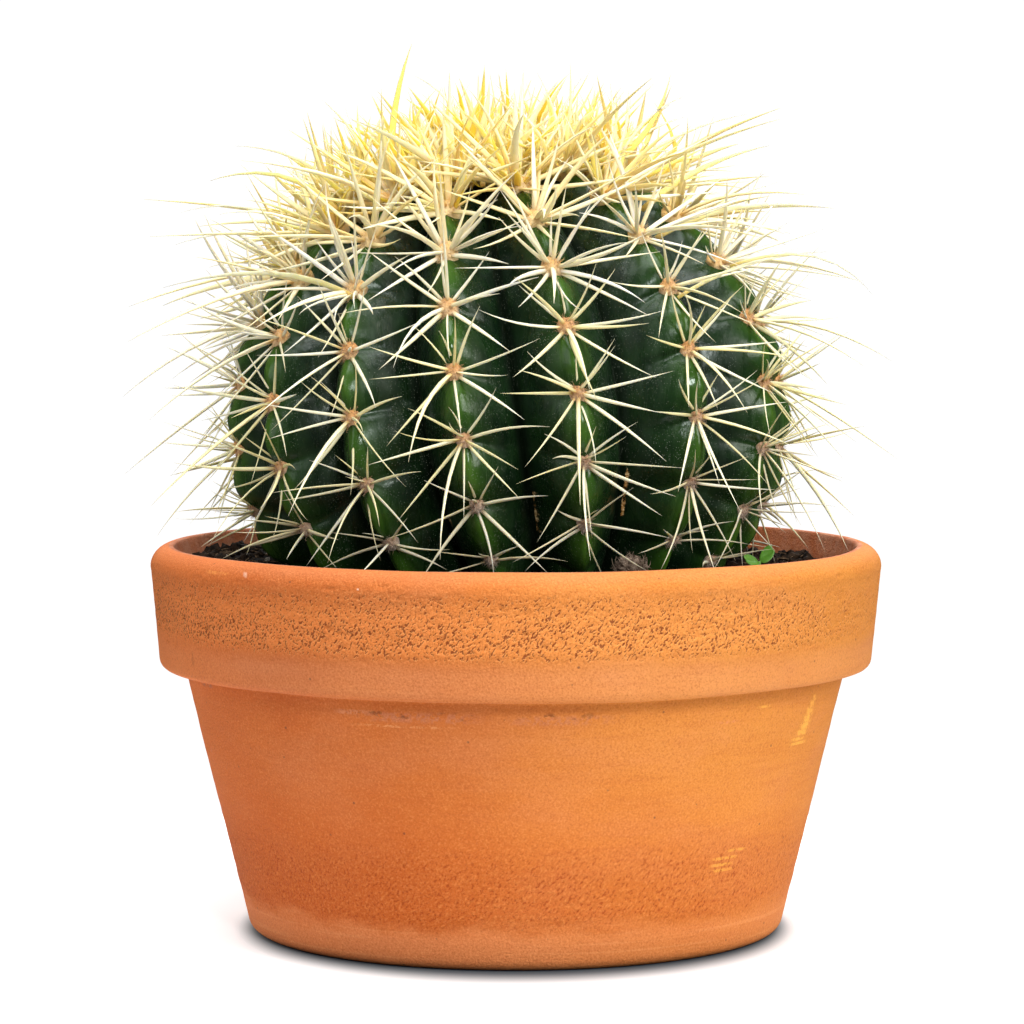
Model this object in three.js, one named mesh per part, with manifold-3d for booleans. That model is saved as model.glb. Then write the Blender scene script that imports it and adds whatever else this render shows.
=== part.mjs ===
// A golden barrel cactus in a terracotta half pot.
// Millimetres, +Z up. The origin is the middle of the pot's foot, on the surface it stands on.
// The front of the plant faces -Y. An azimuth is 0 at the front and grows towards +X.
import * as THREE from "three";
import Module from "manifold-3d";

const wasm = await Module();
wasm.setup();

const DEG = Math.PI / 180;
const TURN = 2 * Math.PI;

// Pot: a clay cup with a thick band round its mouth and one drain hole
const POT_HEIGHT = 111;
const RIM_RADIUS = 105;
const MOUTH_RADIUS = 98.2;
const LIP_ROUNDING = 5.8;
const BAND_FOOT_RADIUS = 102.5;
const BAND_FOOT_HEIGHT = 76.2;
const BAND_ROUNDING = 2.5;
const WALL_TOP_RADIUS = 95.1;
const FOOT_RADIUS = 76.5;
const FOOT_ROUNDING = 4;
const FLOOR_RADIUS = 70;
const FLOOR_THICKNESS = 9;
const FLOOR_ROUNDING = 6;
const DRAIN_RADIUS = 8;
const MOUTH_BEVEL = 0.6;
const POT_SIDES = 48;

// Soil: fills the pot to a little under the rim, higher on the left
const SOIL_HEIGHT = 104;
const SOIL_SLOPE = 0.018;
const SOIL_ROLLS = [
  { height: 0.8, alongX: 0.11, alongY: 0.09, shift: 1.3 },
  { height: 0.5, alongX: 0.23, alongY: -0.19, shift: 0 },
];
const SOIL_RINGS = [30, 58, 68, 78, 88];
const SEAT_GAP = 0.35;
const WALL_GAP = 0.4;

// Stem: a ribbed ball that leans back and to the left
const STEM_CENTRE = new THREE.Vector3(-1.5, -0.4, 145);
const LEAN_BACK = 9 * DEG;
const LEAN_LEFT = 8 * DEG;
const STEM_RADIUS = 78;
const STEM_RISE = 75;
const STEM_DROP = 67.5;
const ROOT_DROP = 84;
const RIB_COUNT = 14;
const COLUMNS_PER_RIB = 6;
const GROOVE_DEPTH = 13;
const GROOVE_POWER = 1.5;
const CHIN_RISE = 2.4;
const CHIN_PLACE = 0.6;
const ROOT_LATITUDE = -66;

// Ribs that the front shows: the azimuth of each crest in degrees, and how far
// one of its areoles is above the widest ring. The other ribs are spaced evenly.
const FRONT_AZIMUTHS = [-82, -56, -32.5, -9.3, 14.7, 41.6, 67.6];
const FRONT_AREOLE_HEIGHTS = [3, -7.3, 1, 8, -2, 7.5, -1];
const HIDDEN_AREOLE_SHIFT = 0.22;
const HIDDEN_AREOLE_JITTER = 2;
const AREOLE_SPACING = 17.8;
const TOP_AREOLE = 4;
const BOTTOM_AREOLE = -3;
const AREOLE_CLEAR_OF_SOIL = 4.5;

// Crown: the wool on top, with its own areoles, in a shallow seat of the stem.
// These latitudes are in degrees, for a rib with an areole on the widest ring.
const SEAT_RIM_LATITUDE = 56.6;
const SEAT_RIM_GROOVE = 0.8;
const SEAT_LATITUDES = [58.4, 69, 80];
const WOOL_EDGE_LATITUDE = 59.4;
const WOOL_LATITUDES = [62.5, 66, 69.5, 73, 76.4, 79.8, 83, 86.5];
const WOOL_AREOLE_LATITUDES = [62.5, 69.5, 76.4, 83];
const WOOL_LOBE = 3;
const WOOL_DEPTH = 3.6;
const WOOL_RISE = 0.8;
const WOOL_GROOVE = 0.35;
const CROWN_DIP = 2.5;
const CROWN_DIP_LATITUDE = 70;
const CROWN_GAP = 0.6;

// Areole pad: two rings of eight corners and a cap, from which the spines rise
const PAD_SIDES = 8;
const PAD_WIDTH = 4.4;
const PAD_LENGTH = 5.6;
const PAD_HEIGHT = 1.2;
const PAD_EDGE_HEIGHT = 0.2;
const PAD_INNER = 0.5;
const PAD_ROOM = 2.6;

// Lowest and highest areole of the stem, first and last of the crown, and its middle one
const STEM_SPINE_SCALE = [0.86, 1.2];
const STEM_PAD_SCALE = [0.85, 1.15];
const CROWN_PAD_SCALE = [0.85, 0.4];
const MIDDLE_PAD_SCALE = 0.5;

// Spines of one areole. turn is the direction round the pad, 0 to the right and 90 up,
// lift the angle off the stem, length in millimetres, and sag how far the tip bends
// down the stem, as a share of the length.
const RADIAL_SPINES = [
  { turn: 45, lift: 27, length: 20, sag: 0 },
  { turn: 90, lift: 44, length: 14, sag: 0 },
  { turn: 135, lift: 27, length: 19, sag: 0 },
  { turn: 180, lift: 20, length: 26, sag: 0 },
  { turn: 225, lift: 19, length: 28, sag: 0 },
  { turn: 270, lift: 24, length: 23, sag: 0 },
  { turn: 315, lift: 19, length: 28, sag: 0 },
  { turn: 0, lift: 20, length: 27, sag: 0 },
];
const CENTRAL_SPINES = [
  { turn: 67.5, lift: 64, length: 25, sag: 0 },
  { turn: 157.5, lift: 48, length: 28, sag: 0 },
  { turn: 247.5, lift: 52, length: 36, sag: 0.28 },
  { turn: 337.5, lift: 46, length: 29, sag: 0 },
];
const CROWN_RADIAL_LIFT = 30;
const CROWN_CENTRAL_LIFT = 18;
const CROWN_STEP_LIFT = 6;
const CROWN_SPINE_SCALE = 1;
const TURN_JITTER = 9;
const LIFT_JITTER = 6;
const LENGTH_JITTER = 0.12;
const LOWEST_LIFT = 12;
const HIGHEST_LIFT = 88;
const SPINE_RADIUS = 1;
const SPINE_TIP_RADIUS = 0.05;
const SPINE_GAP = 0.3;
const SIBLING_GIRTH = 0.5;

// A spine that would cross another is drawn again, wider of its place, steeper and shorter.
const SPINE_TRIES = 30;
const WIDER_EACH_TRY = 0.08;
const STEEPER_EACH_TRY = 0.33;
const SHORTER_EACH_TRY = 0.008;
const SPINE_SEED = 19;
const STEM_CLEARANCE = 0.7;
const RIM_CLEARANCE = 1;
const SOIL_CLEARANCE = 2.6;

// Small things on the soil at the foot of the stem
const TUFT_PLACE = { azimuth: 28 * DEG, distance: 66.5 };
const TUFT_RADIUS = 5.2;
const TUFT_CRUMPLE = 0.12;
const TUFT_FLAT = 0.8;
const TUFT_GAP = 0.75;
const SEEDLING_PLACE = { azimuth: 80.5 * DEG, distance: 73.5 };
const SEEDLING_HEIGHT = 6;
const SEEDLING_DEPTH = 4;
const SEEDLING_STEM_RADIUS = 0.6;
const ROD_SIDES = 6;
const LEAF_LENGTH = 6.4;
const LEAF_WIDTH = 5;
const LEAF_THICKNESS = 0.9;
const LEAF_START = 0.17;
const LEAF_SIDES = 10;
const LEAF_HEADING = 112 * DEG;
const LEAF_DROP = 0.6;
const LEAF_CUP_ALONG = 0.05;
const LEAF_CUP_ACROSS = 0.06;

const CLAY = { color: 0xd5834d, roughness: 0.85, metalness: 0 };
const PEAT = { color: 0x2b1f17, roughness: 1, metalness: 0 };
const SKIN = { color: 0x2f5a34, roughness: 0.45, metalness: 0 };
const GOLD = { color: 0xe8cf74, roughness: 0.6, metalness: 0 };
const DRY_FIBRE = { color: 0x8a7568, roughness: 1, metalness: 0 };
const FRESH_LEAF = { color: 0x5f9f2f, roughness: 0.5, metalness: 0 };

function seededRandom(seed) {
  let state = seed;
  return () => {
    state = (state + 0x6d2b79f5) | 0;
    let mixed = Math.imul(state ^ (state >>> 15), 1 | state);
    mixed = (mixed + Math.imul(mixed ^ (mixed >>> 7), 61 | mixed)) ^ mixed;
    return ((mixed ^ (mixed >>> 14)) >>> 0) / 4294967296;
  };
}

const random = seededRandom(SPINE_SEED);
const jitter = (spread) => spread * (2 * random() - 1);
const lerp = THREE.MathUtils.lerp;

// A skin of triangles that grows point by point and face by face.
class Skin {
  constructor() {
    this.points = [];
    this.faces = [];
  }

  add(point) {
    this.points.push(point);
    return this.points.length - 1;
  }

  face(a, b, c) {
    this.faces.push([a, b, c]);
  }

  // Joins two rings of equal length, the first one above the second seen from outside.
  // Faces with a corner in skip are left out.
  band(upper, lower, skip = new Set()) {
    upper.forEach((a, i) => {
      const next = (i + 1) % upper.length;
      const corners = [a, lower[i], lower[next], upper[next]];
      for (const [p, q, r] of [[0, 1, 2], [0, 2, 3]]) {
        const triangle = [corners[p], corners[q], corners[r]];
        if (!triangle.some((corner) => skip.has(corner))) {
          this.face(...triangle);
        }
      }
    });
  }

  // Closes a ring with a fan: from above if the ring is the top of its skin.
  fan(centre, ring, onTop) {
    ring.forEach((a, i) => {
      const b = ring[(i + 1) % ring.length];
      if (onTop) {
        this.face(centre, a, b);
      } else {
        this.face(centre, b, a);
      }
    });
  }

  geometry() {
    const geometry = new THREE.BufferGeometry();
    const positions = this.points.flatMap((point) => [point.x, point.y, point.z]);
    geometry.setAttribute("position", new THREE.Float32BufferAttribute(positions, 3));
    geometry.setIndex(this.faces.flat());
    return geometry;
  }
}

function solidOf(geometry) {
  const mesh = new wasm.Mesh({
    numProp: 3,
    vertProperties: new Float32Array(geometry.attributes.position.array),
    triVerts: new Uint32Array(geometry.index.array),
  });
  return new wasm.Manifold(mesh);
}

function geometryOf(solid) {
  const mesh = solid.getMesh();
  const geometry = new THREE.BufferGeometry();
  geometry.setAttribute("position", new THREE.Float32BufferAttribute(mesh.vertProperties, 3));
  geometry.setIndex(Array.from(mesh.triVerts));
  return geometry;
}

function piece(name, geometry, finish) {
  geometry.computeVertexNormals();
  const mesh = new THREE.Mesh(geometry, new THREE.MeshStandardMaterial(finish));
  mesh.name = name;
  return mesh;
}

function around(azimuth, radius, height) {
  return new THREE.Vector3(Math.sin(azimuth) * radius, -Math.cos(azimuth) * radius, height);
}

// The pot is turned from this outline of radius and height.
function arc(centreRadius, centreHeight, rounding, from, to, steps) {
  return Array.from({ length: steps + 1 }, (_, i) => {
    const angle = lerp(from, to, i / steps) * DEG;
    return new THREE.Vector2(
      centreRadius + rounding * Math.cos(angle),
      centreHeight + rounding * Math.sin(angle),
    );
  });
}

function insideRadius(height) {
  const share = (height - FLOOR_THICKNESS) / (POT_HEIGHT - FLOOR_THICKNESS);
  return lerp(FLOOR_RADIUS, MOUTH_RADIUS, share);
}

function makePot() {
  const slope = Math.atan((WALL_TOP_RADIUS - FOOT_RADIUS) / BAND_FOOT_HEIGHT);
  const footCentre = FOOT_RADIUS + FOOT_ROUNDING * (Math.tan(slope) - 1 / Math.cos(slope));
  const bandEdge = BAND_FOOT_RADIUS - BAND_ROUNDING;
  const floorFillet = FLOOR_THICKNESS + FLOOR_ROUNDING;
  const outline = [
    new THREE.Vector2(DRAIN_RADIUS, 0),
    ...arc(footCentre, FOOT_ROUNDING, FOOT_ROUNDING, -90, -slope / DEG, 3),
    new THREE.Vector2(WALL_TOP_RADIUS, BAND_FOOT_HEIGHT),
    ...arc(bandEdge, BAND_FOOT_HEIGHT + BAND_ROUNDING, BAND_ROUNDING, -90, -4, 2),
    ...arc(RIM_RADIUS - LIP_ROUNDING, POT_HEIGHT - LIP_ROUNDING, LIP_ROUNDING, 0, 90, 4),
    new THREE.Vector2(MOUTH_RADIUS, POT_HEIGHT - MOUTH_BEVEL),
    new THREE.Vector2(insideRadius(floorFillet), floorFillet),
    new THREE.Vector2(FLOOR_RADIUS - FLOOR_ROUNDING, FLOOR_THICKNESS),
    new THREE.Vector2(DRAIN_RADIUS, FLOOR_THICKNESS),
    new THREE.Vector2(DRAIN_RADIUS, 0),
  ];
  const geometry = new THREE.LatheGeometry(outline, POT_SIDES);
  geometry.rotateX(Math.PI / 2);
  return piece("pot", geometry, CLAY);
}

// Stem: each column of its skin has an azimuth, a groove share that is 0 on the crest
// and 1 in the groove, and the latitude of its rib's areole near the widest ring.
const MEAN_RADIUS = (STEM_RADIUS + (STEM_RISE + STEM_DROP) / 2) / 2;
const AREOLE_STEP = AREOLE_SPACING / MEAN_RADIUS;
const POLE = 90 * DEG;
const FULL_PHASE_LATITUDE = TOP_AREOLE * AREOLE_STEP;

function makeRibs() {
  const first = FRONT_AZIMUTHS[0];
  const last = FRONT_AZIMUTHS[FRONT_AZIMUTHS.length - 1];
  const hidden = RIB_COUNT - FRONT_AZIMUTHS.length;
  const gap = (first + 360 - last) / (hidden + 1);
  const ribs = FRONT_AZIMUTHS.map((azimuth, i) => ({ azimuth, height: FRONT_AREOLE_HEIGHTS[i] }));
  for (let i = 1; i <= hidden; i += 1) {
    const side = i % 2 ? 1 : -1;
    const height = side * AREOLE_SPACING * HIDDEN_AREOLE_SHIFT + jitter(HIDDEN_AREOLE_JITTER);
    ribs.push({ azimuth: last + gap * i, height });
  }
  return ribs.map(({ azimuth, height }) => ({
    azimuth: azimuth * DEG,
    phase: height / MEAN_RADIUS,
  }));
}

const ribs = makeRibs();

function columnBetween(rib, next, share) {
  return {
    azimuth: lerp(rib.azimuth, next.azimuth, share),
    phase: lerp(rib.phase, next.phase, share),
    groove: 1 - Math.abs(2 * share - 1),
  };
}

function ribAfter(index) {
  const next = ribs[(index + 1) % RIB_COUNT];
  return index + 1 < RIB_COUNT ? next : { ...next, azimuth: next.azimuth + TURN };
}

function makeColumns(perRib) {
  return ribs.flatMap((rib, index) =>
    Array.from({ length: perRib }, (_, i) => columnBetween(rib, ribAfter(index), i / perRib)),
  );
}

function columnAt(azimuth) {
  const wrapped = THREE.MathUtils.euclideanModulo(azimuth - ribs[0].azimuth, TURN) + ribs[0].azimuth;
  let index = RIB_COUNT - 1;
  while (index > 0 && ribs[index].azimuth > wrapped) {
    index -= 1;
  }
  const next = ribAfter(index);
  const share = (wrapped - ribs[index].azimuth) / (next.azimuth - ribs[index].azimuth);
  return columnBetween(ribs[index], next, share);
}

function ballRadius(latitude) {
  const height = latitude > 0 ? STEM_RISE : STEM_DROP;
  return 1 / Math.hypot(Math.cos(latitude) / STEM_RADIUS, Math.sin(latitude) / height);
}

// Under each areole the crest swells into a chin and falls back before the next one.
function chin(column, latitude) {
  const below = THREE.MathUtils.euclideanModulo((column.phase - latitude) / AREOLE_STEP, 1);
  const rise = below < CHIN_PLACE ? below / CHIN_PLACE : (1 - below) / (1 - CHIN_PLACE);
  return CHIN_RISE * rise * (1 - column.groove) * Math.cos(latitude);
}

function grooveDepth(column, latitude) {
  return GROOVE_DEPTH * column.groove ** GROOVE_POWER * Math.cos(latitude);
}

function stemRadius(column, latitude) {
  return ballRadius(latitude) - grooveDepth(column, latitude) + chin(column, latitude);
}

function crownDip(latitude) {
  return CROWN_DIP * THREE.MathUtils.smoothstep(latitude, CROWN_DIP_LATITUDE * DEG, POLE);
}

// Near the top the ribs' different heights even out, and the wool runs down each crest.
function crownLatitude(degrees, column) {
  const latitude = degrees * DEG;
  const share = (POLE - latitude) / (POLE - FULL_PHASE_LATITUDE);
  return latitude + (column.phase + WOOL_LOBE * DEG * column.groove) * share;
}

const stemPose = new THREE.Matrix4()
  .makeRotationY(-LEAN_LEFT)
  .multiply(new THREE.Matrix4().makeRotationX(-LEAN_BACK))
  .setPosition(STEM_CENTRE);
const stemPoseInverse = stemPose.clone().invert();
const stemAxis = new THREE.Vector3(0, 0, 1).transformDirection(stemPose);

function onStem(azimuth, latitude, radius) {
  const height = Math.sin(latitude) * radius;
  return around(azimuth, Math.cos(latitude) * radius, height).applyMatrix4(stemPose);
}

// An areole's own directions: out of the stem, up along the rib, and to the right.
function areoleFrame(azimuth, latitude, radius) {
  const local = around(azimuth, Math.cos(latitude), Math.sin(latitude));
  const height = latitude > 0 ? STEM_RISE : STEM_DROP;
  local.z *= (STEM_RADIUS / height) ** 2;
  const out = local.transformDirection(stemPose);
  const up = stemAxis.clone().addScaledVector(out, -out.dot(stemAxis)).normalize();
  return { origin: onStem(azimuth, latitude, radius), out, up, right: up.clone().cross(out) };
}

// Everything that a spine has to keep clear of
const spineTracks = [];
const keptClear = [];

function radiusOnTrack(share) {
  return SPINE_RADIUS * (1 - share) + SPINE_TIP_RADIUS;
}

const segmentA = new THREE.Vector3();
const segmentB = new THREE.Vector3();
const segmentOffset = new THREE.Vector3();

// The closest two stretches come to each other, and where on each.
function closestOnStretches(p0, p1, q0, q1) {
  segmentA.subVectors(p1, p0);
  segmentB.subVectors(q1, q0);
  segmentOffset.subVectors(p0, q0);
  const aa = segmentA.lengthSq();
  const bb = segmentB.lengthSq();
  const ab = segmentA.dot(segmentB);
  const ao = segmentA.dot(segmentOffset);
  const bo = segmentB.dot(segmentOffset);
  const spread = aa * bb - ab * ab;
  let s = spread > 1e-9 ? THREE.MathUtils.clamp((ab * bo - bb * ao) / spread, 0, 1) : 0;
  const t = THREE.MathUtils.clamp((ab * s + bo) / bb, 0, 1);
  s = THREE.MathUtils.clamp((ab * t - ao) / aa, 0, 1);
  const distance = segmentOffset.addScaledVector(segmentA, s).addScaledVector(segmentB, -t).length();
  return { distance, s, t };
}

// Two spines of one areole start side by side, so their roots may come closer than others.
function tracksCross(track, other) {
  const sameAreole = track.areole === other.areole;
  for (let i = 0; i + 1 < track.points.length; i += 1) {
    const stretch = track.points.slice(i, i + 2);
    for (let j = 0; j + 1 < other.points.length; j += 1) {
      const near = closestOnStretches(...stretch, ...other.points.slice(j, j + 2));
      const here = lerp(track.shares[i], track.shares[i + 1], near.s);
      const there = lerp(other.shares[j], other.shares[j + 1], near.t);
      const girth = radiusOnTrack(here) + radiusOnTrack(there);
      const atRoots = sameAreole ? Math.max(0, 1 - 2 * (here + there)) : 0;
      if (near.distance < lerp(girth + SPINE_GAP, SIBLING_GIRTH * girth, atRoots)) {
        return true;
      }
    }
  }
  return false;
}

function soilLevel(x, y) {
  const level = SOIL_HEIGHT - SOIL_SLOPE * x;
  return SOIL_ROLLS.reduce(
    (sum, roll) => sum + roll.height * Math.sin(roll.alongX * x + roll.alongY * y + roll.shift),
    level,
  );
}

function clearOfSurroundings(point) {
  const local = point.clone().applyMatrix4(stemPoseInverse);
  const latitude = Math.asin(local.z / local.length());
  const azimuth = Math.atan2(local.x, -local.y);
  if (local.length() < stemRadius(columnAt(azimuth), latitude) + STEM_CLEARANCE) {
    return false;
  }
  const fromAxis = Math.hypot(point.x, point.y);
  const overRim = point.z > POT_HEIGHT + RIM_CLEARANCE;
  const overSoil = point.z > soilLevel(point.x, point.y) + SOIL_CLEARANCE;
  return overRim || (overSoil && fromAxis < insideRadius(point.z) - RIM_CLEARANCE);
}

function trackIsClear(track) {
  for (let tenth = 2; tenth <= 10; tenth += 1) {
    if (!clearOfSurroundings(track.at(tenth / 10))) {
      return false;
    }
  }
  for (const ball of keptClear) {
    if (ball.areole === track.areole) {
      continue;
    }
    for (let i = 0; i + 1 < track.points.length; i += 1) {
      const line = new THREE.Line3(track.points[i], track.points[i + 1]);
      const nearest = line.closestPointToPoint(ball.centre, true, new THREE.Vector3());
      if (nearest.distanceTo(ball.centre) < ball.radius + SPINE_GAP + SPINE_RADIUS) {
        return false;
      }
    }
  }
  return !spineTracks.some(
    (other) => other.middle.distanceTo(track.middle) < other.reach + track.reach && tracksCross(track, other),
  );
}

function makeTrack(areole, root, direction, length, sag) {
  const fall = areole.frame.up.clone().multiplyScalar(-sag * length);
  const at = (share) =>
    root.clone().addScaledVector(direction, length * share).addScaledVector(fall, share * share);
  const shares = sag ? [0, 0.5, 1] : [0, 1];
  const points = shares.map(at);
  const middle = points[0].clone().add(points[points.length - 1]).multiplyScalar(0.5);
  const reach = Math.max(...points.map((point) => point.distanceTo(middle))) + SPINE_RADIUS + SPINE_GAP;
  return { areole, at, shares, points, middle, reach };
}

// Draws directions round the spine's own one until it crosses nothing.
function growTrack(areole, root, spine) {
  const { right, up, out } = areole.frame;
  for (let attempt = 0; attempt < SPINE_TRIES; attempt += 1) {
    const wider = 1 + attempt * WIDER_EACH_TRY;
    const turn = (spine.turn + jitter(TURN_JITTER) * wider) * DEG;
    const steeper = spine.lift + jitter(LIFT_JITTER) * wider + attempt * STEEPER_EACH_TRY;
    const lift = THREE.MathUtils.clamp(steeper, LOWEST_LIFT, HIGHEST_LIFT) * DEG;
    const shorter = (1 + jitter(LENGTH_JITTER)) * (1 - attempt * SHORTER_EACH_TRY);
    const length = spine.length * areole.scale * shorter;
    const direction = new THREE.Vector3()
      .addScaledVector(right, Math.cos(turn) * Math.cos(lift))
      .addScaledVector(up, Math.sin(turn) * Math.cos(lift))
      .addScaledVector(out, Math.sin(lift));
    const track = makeTrack(areole, root, direction, length, spine.sag);
    if (trackIsClear(track)) {
      spineTracks.push(track);
      return track;
    }
  }
  return null;
}

// Raises a spine from one triangle of a skin, in two stretches where it bends.
function raiseSpine(skin, triangle, areole, spine) {
  const corners = triangle.map((index) => skin.points[index]);
  const root = corners[0].clone().add(corners[1]).add(corners[2]).divideScalar(3);
  const track = growTrack(areole, root, spine);
  if (!track) {
    skin.face(...triangle);
    return;
  }
  let ring = triangle;
  for (const share of track.shares.slice(1, -1)) {
    const centre = track.at(share);
    const next = corners.map((corner) =>
      skin.add(corner.clone().sub(root).multiplyScalar(1 - share).add(centre)),
    );
    ring.forEach((a, i) => {
      const j = (i + 1) % 3;
      skin.face(a, ring[j], next[j]);
      skin.face(a, next[j], next[i]);
    });
    ring = next;
  }
  const tip = skin.add(track.at(1));
  ring.forEach((a, i) => skin.face(a, ring[(i + 1) % 3], tip));
}

// Joins the ring of skin round an areole to the pad's own ring, by their angles.
function joinRings(skin, outer, inner, frame) {
  const angleOf = (index) => {
    const offset = skin.points[index].clone().sub(frame.origin);
    return Math.atan2(offset.dot(frame.up), offset.dot(frame.right));
  };
  const outerAngles = outer.map(angleOf);
  const ahead = (angle, from) => THREE.MathUtils.euclideanModulo(angle - from + Math.PI, TURN) - Math.PI;
  const start = outerAngles[0];
  const innerShift = inner
    .map((index, i) => ({ i, off: Math.abs(ahead(angleOf(index), start)) }))
    .sort((a, b) => a.off - b.off)[0].i;
  const innerTurned = inner.map((_, i) => inner[(i + innerShift) % inner.length]);
  const unroll = (loop) => {
    const angles = [ahead(angleOf(loop[0]), start)];
    for (let i = 1; i <= loop.length; i += 1) {
      const step = THREE.MathUtils.euclideanModulo(
        angleOf(loop[i % loop.length]) - angleOf(loop[i - 1]),
        TURN,
      );
      angles.push(angles[i - 1] + step);
    }
    return angles;
  };
  const outerTurn = unroll(outer);
  const innerTurn = unroll(innerTurned);
  let i = 0;
  let j = 0;
  while (i < outer.length || j < inner.length) {
    const a = outer[i % outer.length];
    const b = innerTurned[j % inner.length];
    const stepOuter = j >= inner.length || (i < outer.length && outerTurn[i + 1] < innerTurn[j + 1]);
    if (stepOuter) {
      i += 1;
      skin.face(a, outer[i % outer.length], b);
    } else {
      j += 1;
      skin.face(a, innerTurned[j % inner.length], b);
    }
  }
}

// Builds an areole's pad inside the loop of skin round it, with its spines.
function growAreole(skin, loop, areole) {
  const { frame, padScale } = areole;
  const ringAt = (width, length, height) =>
    Array.from({ length: PAD_SIDES }, (_, i) => {
      const angle = ((i + 0.5) / PAD_SIDES) * TURN;
      return skin.add(
        frame.origin
          .clone()
          .addScaledVector(frame.right, (Math.cos(angle) * width * padScale) / 2)
          .addScaledVector(frame.up, (Math.sin(angle) * length * padScale) / 2)
          .addScaledVector(frame.out, height * padScale),
      );
    });
  const edge = ringAt(PAD_WIDTH, PAD_LENGTH, PAD_EDGE_HEIGHT);
  const cap = ringAt(PAD_WIDTH * PAD_INNER, PAD_LENGTH * PAD_INNER, PAD_HEIGHT);
  joinRings(skin, loop, edge, frame);
  areole.radials.forEach((spine, i) => {
    const next = (i + 1) % PAD_SIDES;
    skin.face(edge[next], cap[next], cap[i]);
    raiseSpine(skin, [edge[i], edge[next], cap[i]], areole, spine);
  });
  areole.centrals.forEach((spine, i) => {
    const first = 2 * i;
    const triangle = [cap[first], cap[first + 1], cap[(first + 2) % PAD_SIDES]];
    raiseSpine(skin, triangle, areole, spine);
  });
  skin.face(cap[0], cap[2], cap[4]);
  skin.face(cap[4], cap[6], cap[0]);
}

// Lays the rows of a skin over the given columns, from the top down.
function layRows(skin, columns, rows) {
  return rows.map((row) =>
    columns.map((column) => {
      const latitude = row.latitude(column);
      return skin.add(onStem(column.azimuth, latitude, row.radius(column, latitude)));
    }),
  );
}

// The loop of six neighbours round the corner at a row and a column of a skin.
function neighbours(rows, row, column) {
  const count = rows[row].length;
  const left = (column + count - 1) % count;
  const right = (column + 1) % count;
  return [
    rows[row][left],
    rows[row + 1][column],
    rows[row + 1][right],
    rows[row][right],
    rows[row - 1][column],
    rows[row - 1][left],
  ];
}

function joinRows(skin, rows, areoles) {
  const skip = new Set(areoles.map(({ row, column }) => rows[row][column]));
  for (let i = 0; i + 1 < rows.length; i += 1) {
    skin.band(rows[i], rows[i + 1], skip);
  }
  for (const areole of areoles) {
    growAreole(skin, neighbours(rows, areole.row, areole.column), areole);
  }
  dropUnused(skin, skip);
}

function dropUnused(skin, unused) {
  const kept = skin.points.map((_, index) => index).filter((index) => !unused.has(index));
  const places = new Map(kept.map((index, place) => [index, place]));
  skin.points = kept.map((index) => skin.points[index]);
  skin.faces = skin.faces.map((face) => face.map((index) => places.get(index)));
}

function seatRadius(column, latitude) {
  return ballRadius(latitude) - crownDip(latitude) - WOOL_DEPTH;
}

function stemRowList() {
  const rows = [...SEAT_LATITUDES].reverse().map((degrees) => ({
    latitude: (column) => crownLatitude(degrees, column),
    radius: seatRadius,
  }));
  rows.push({
    latitude: (column) => crownLatitude(SEAT_RIM_LATITUDE, column),
    radius: (column, latitude) => ballRadius(latitude) - SEAT_RIM_GROOVE * grooveDepth(column, latitude),
  });
  for (let areole = TOP_AREOLE; areole >= BOTTOM_AREOLE; areole -= 1) {
    for (const drop of [0, CHIN_PLACE]) {
      rows.push({
        latitude: (column) => column.phase + (areole - drop) * AREOLE_STEP,
        radius: stemRadius,
        areole: drop ? null : areole,
      });
    }
  }
  rows.push({
    latitude: () => ROOT_LATITUDE * DEG,
    radius: (column, latitude) => ballRadius(latitude),
  });
  return rows;
}

// Closes a laid skin at its top and bottom, on the stem's axis.
function closeEnds(skin, rings, topRadius, bottomRadius) {
  const top = skin.add(onStem(0, POLE, topRadius));
  const bottom = skin.add(onStem(0, -POLE, bottomRadius));
  skin.fan(top, rings[0], true);
  skin.fan(bottom, rings[rings.length - 1], false);
}

function keepClear(centre, radius, areole = null) {
  keptClear.push({ centre, radius, areole });
}

function stemAreoles(columns, rowList) {
  const areoles = [];
  rowList.forEach((row, rowIndex) => {
    if (!Number.isInteger(row.areole)) {
      return;
    }
    ribs.forEach((rib, ribIndex) => {
      const columnIndex = ribIndex * COLUMNS_PER_RIB;
      const latitude = row.latitude(columns[columnIndex]);
      const frame = areoleFrame(rib.azimuth, latitude, ballRadius(latitude));
      const soilHere = soilLevel(frame.origin.x, frame.origin.y);
      if (frame.origin.z < soilHere + AREOLE_CLEAR_OF_SOIL) {
        return;
      }
      const share = (row.areole - BOTTOM_AREOLE) / (TOP_AREOLE - BOTTOM_AREOLE);
      areoles.push({
        row: rowIndex,
        column: columnIndex,
        frame,
        scale: lerp(...STEM_SPINE_SCALE, share ** 2),
        padScale: lerp(...STEM_PAD_SCALE, share),
        radials: RADIAL_SPINES,
        centrals: CENTRAL_SPINES,
      });
    });
  });
  return areoles;
}

function makeStem() {
  const columns = makeColumns(COLUMNS_PER_RIB);
  const rowList = stemRowList();
  const skin = new Skin();
  const rings = layRows(skin, columns, rowList);
  closeEnds(skin, rings, seatRadius(null, POLE), ROOT_DROP);
  const areoles = stemAreoles(columns, rowList);
  areoles.forEach((areole) => keepClear(areole.frame.origin, PAD_ROOM * areole.padScale, areole));
  joinRows(skin, rings, areoles);
  return skin.geometry();
}

// The room that the stem takes up in the soil: its own form, a little larger.
function makeSocket() {
  const grown = (row) => ({
    ...row,
    radius: (column, latitude) => row.radius(column, latitude) + SEAT_GAP,
  });
  const skin = new Skin();
  const rings = layRows(skin, makeColumns(COLUMNS_PER_RIB), stemRowList().map(grown));
  closeEnds(skin, rings, seatRadius(null, POLE) + SEAT_GAP, ROOT_DROP + 2 * SEAT_GAP);
  joinRows(skin, rings, []);
  return solidOf(skin.geometry());
}

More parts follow.
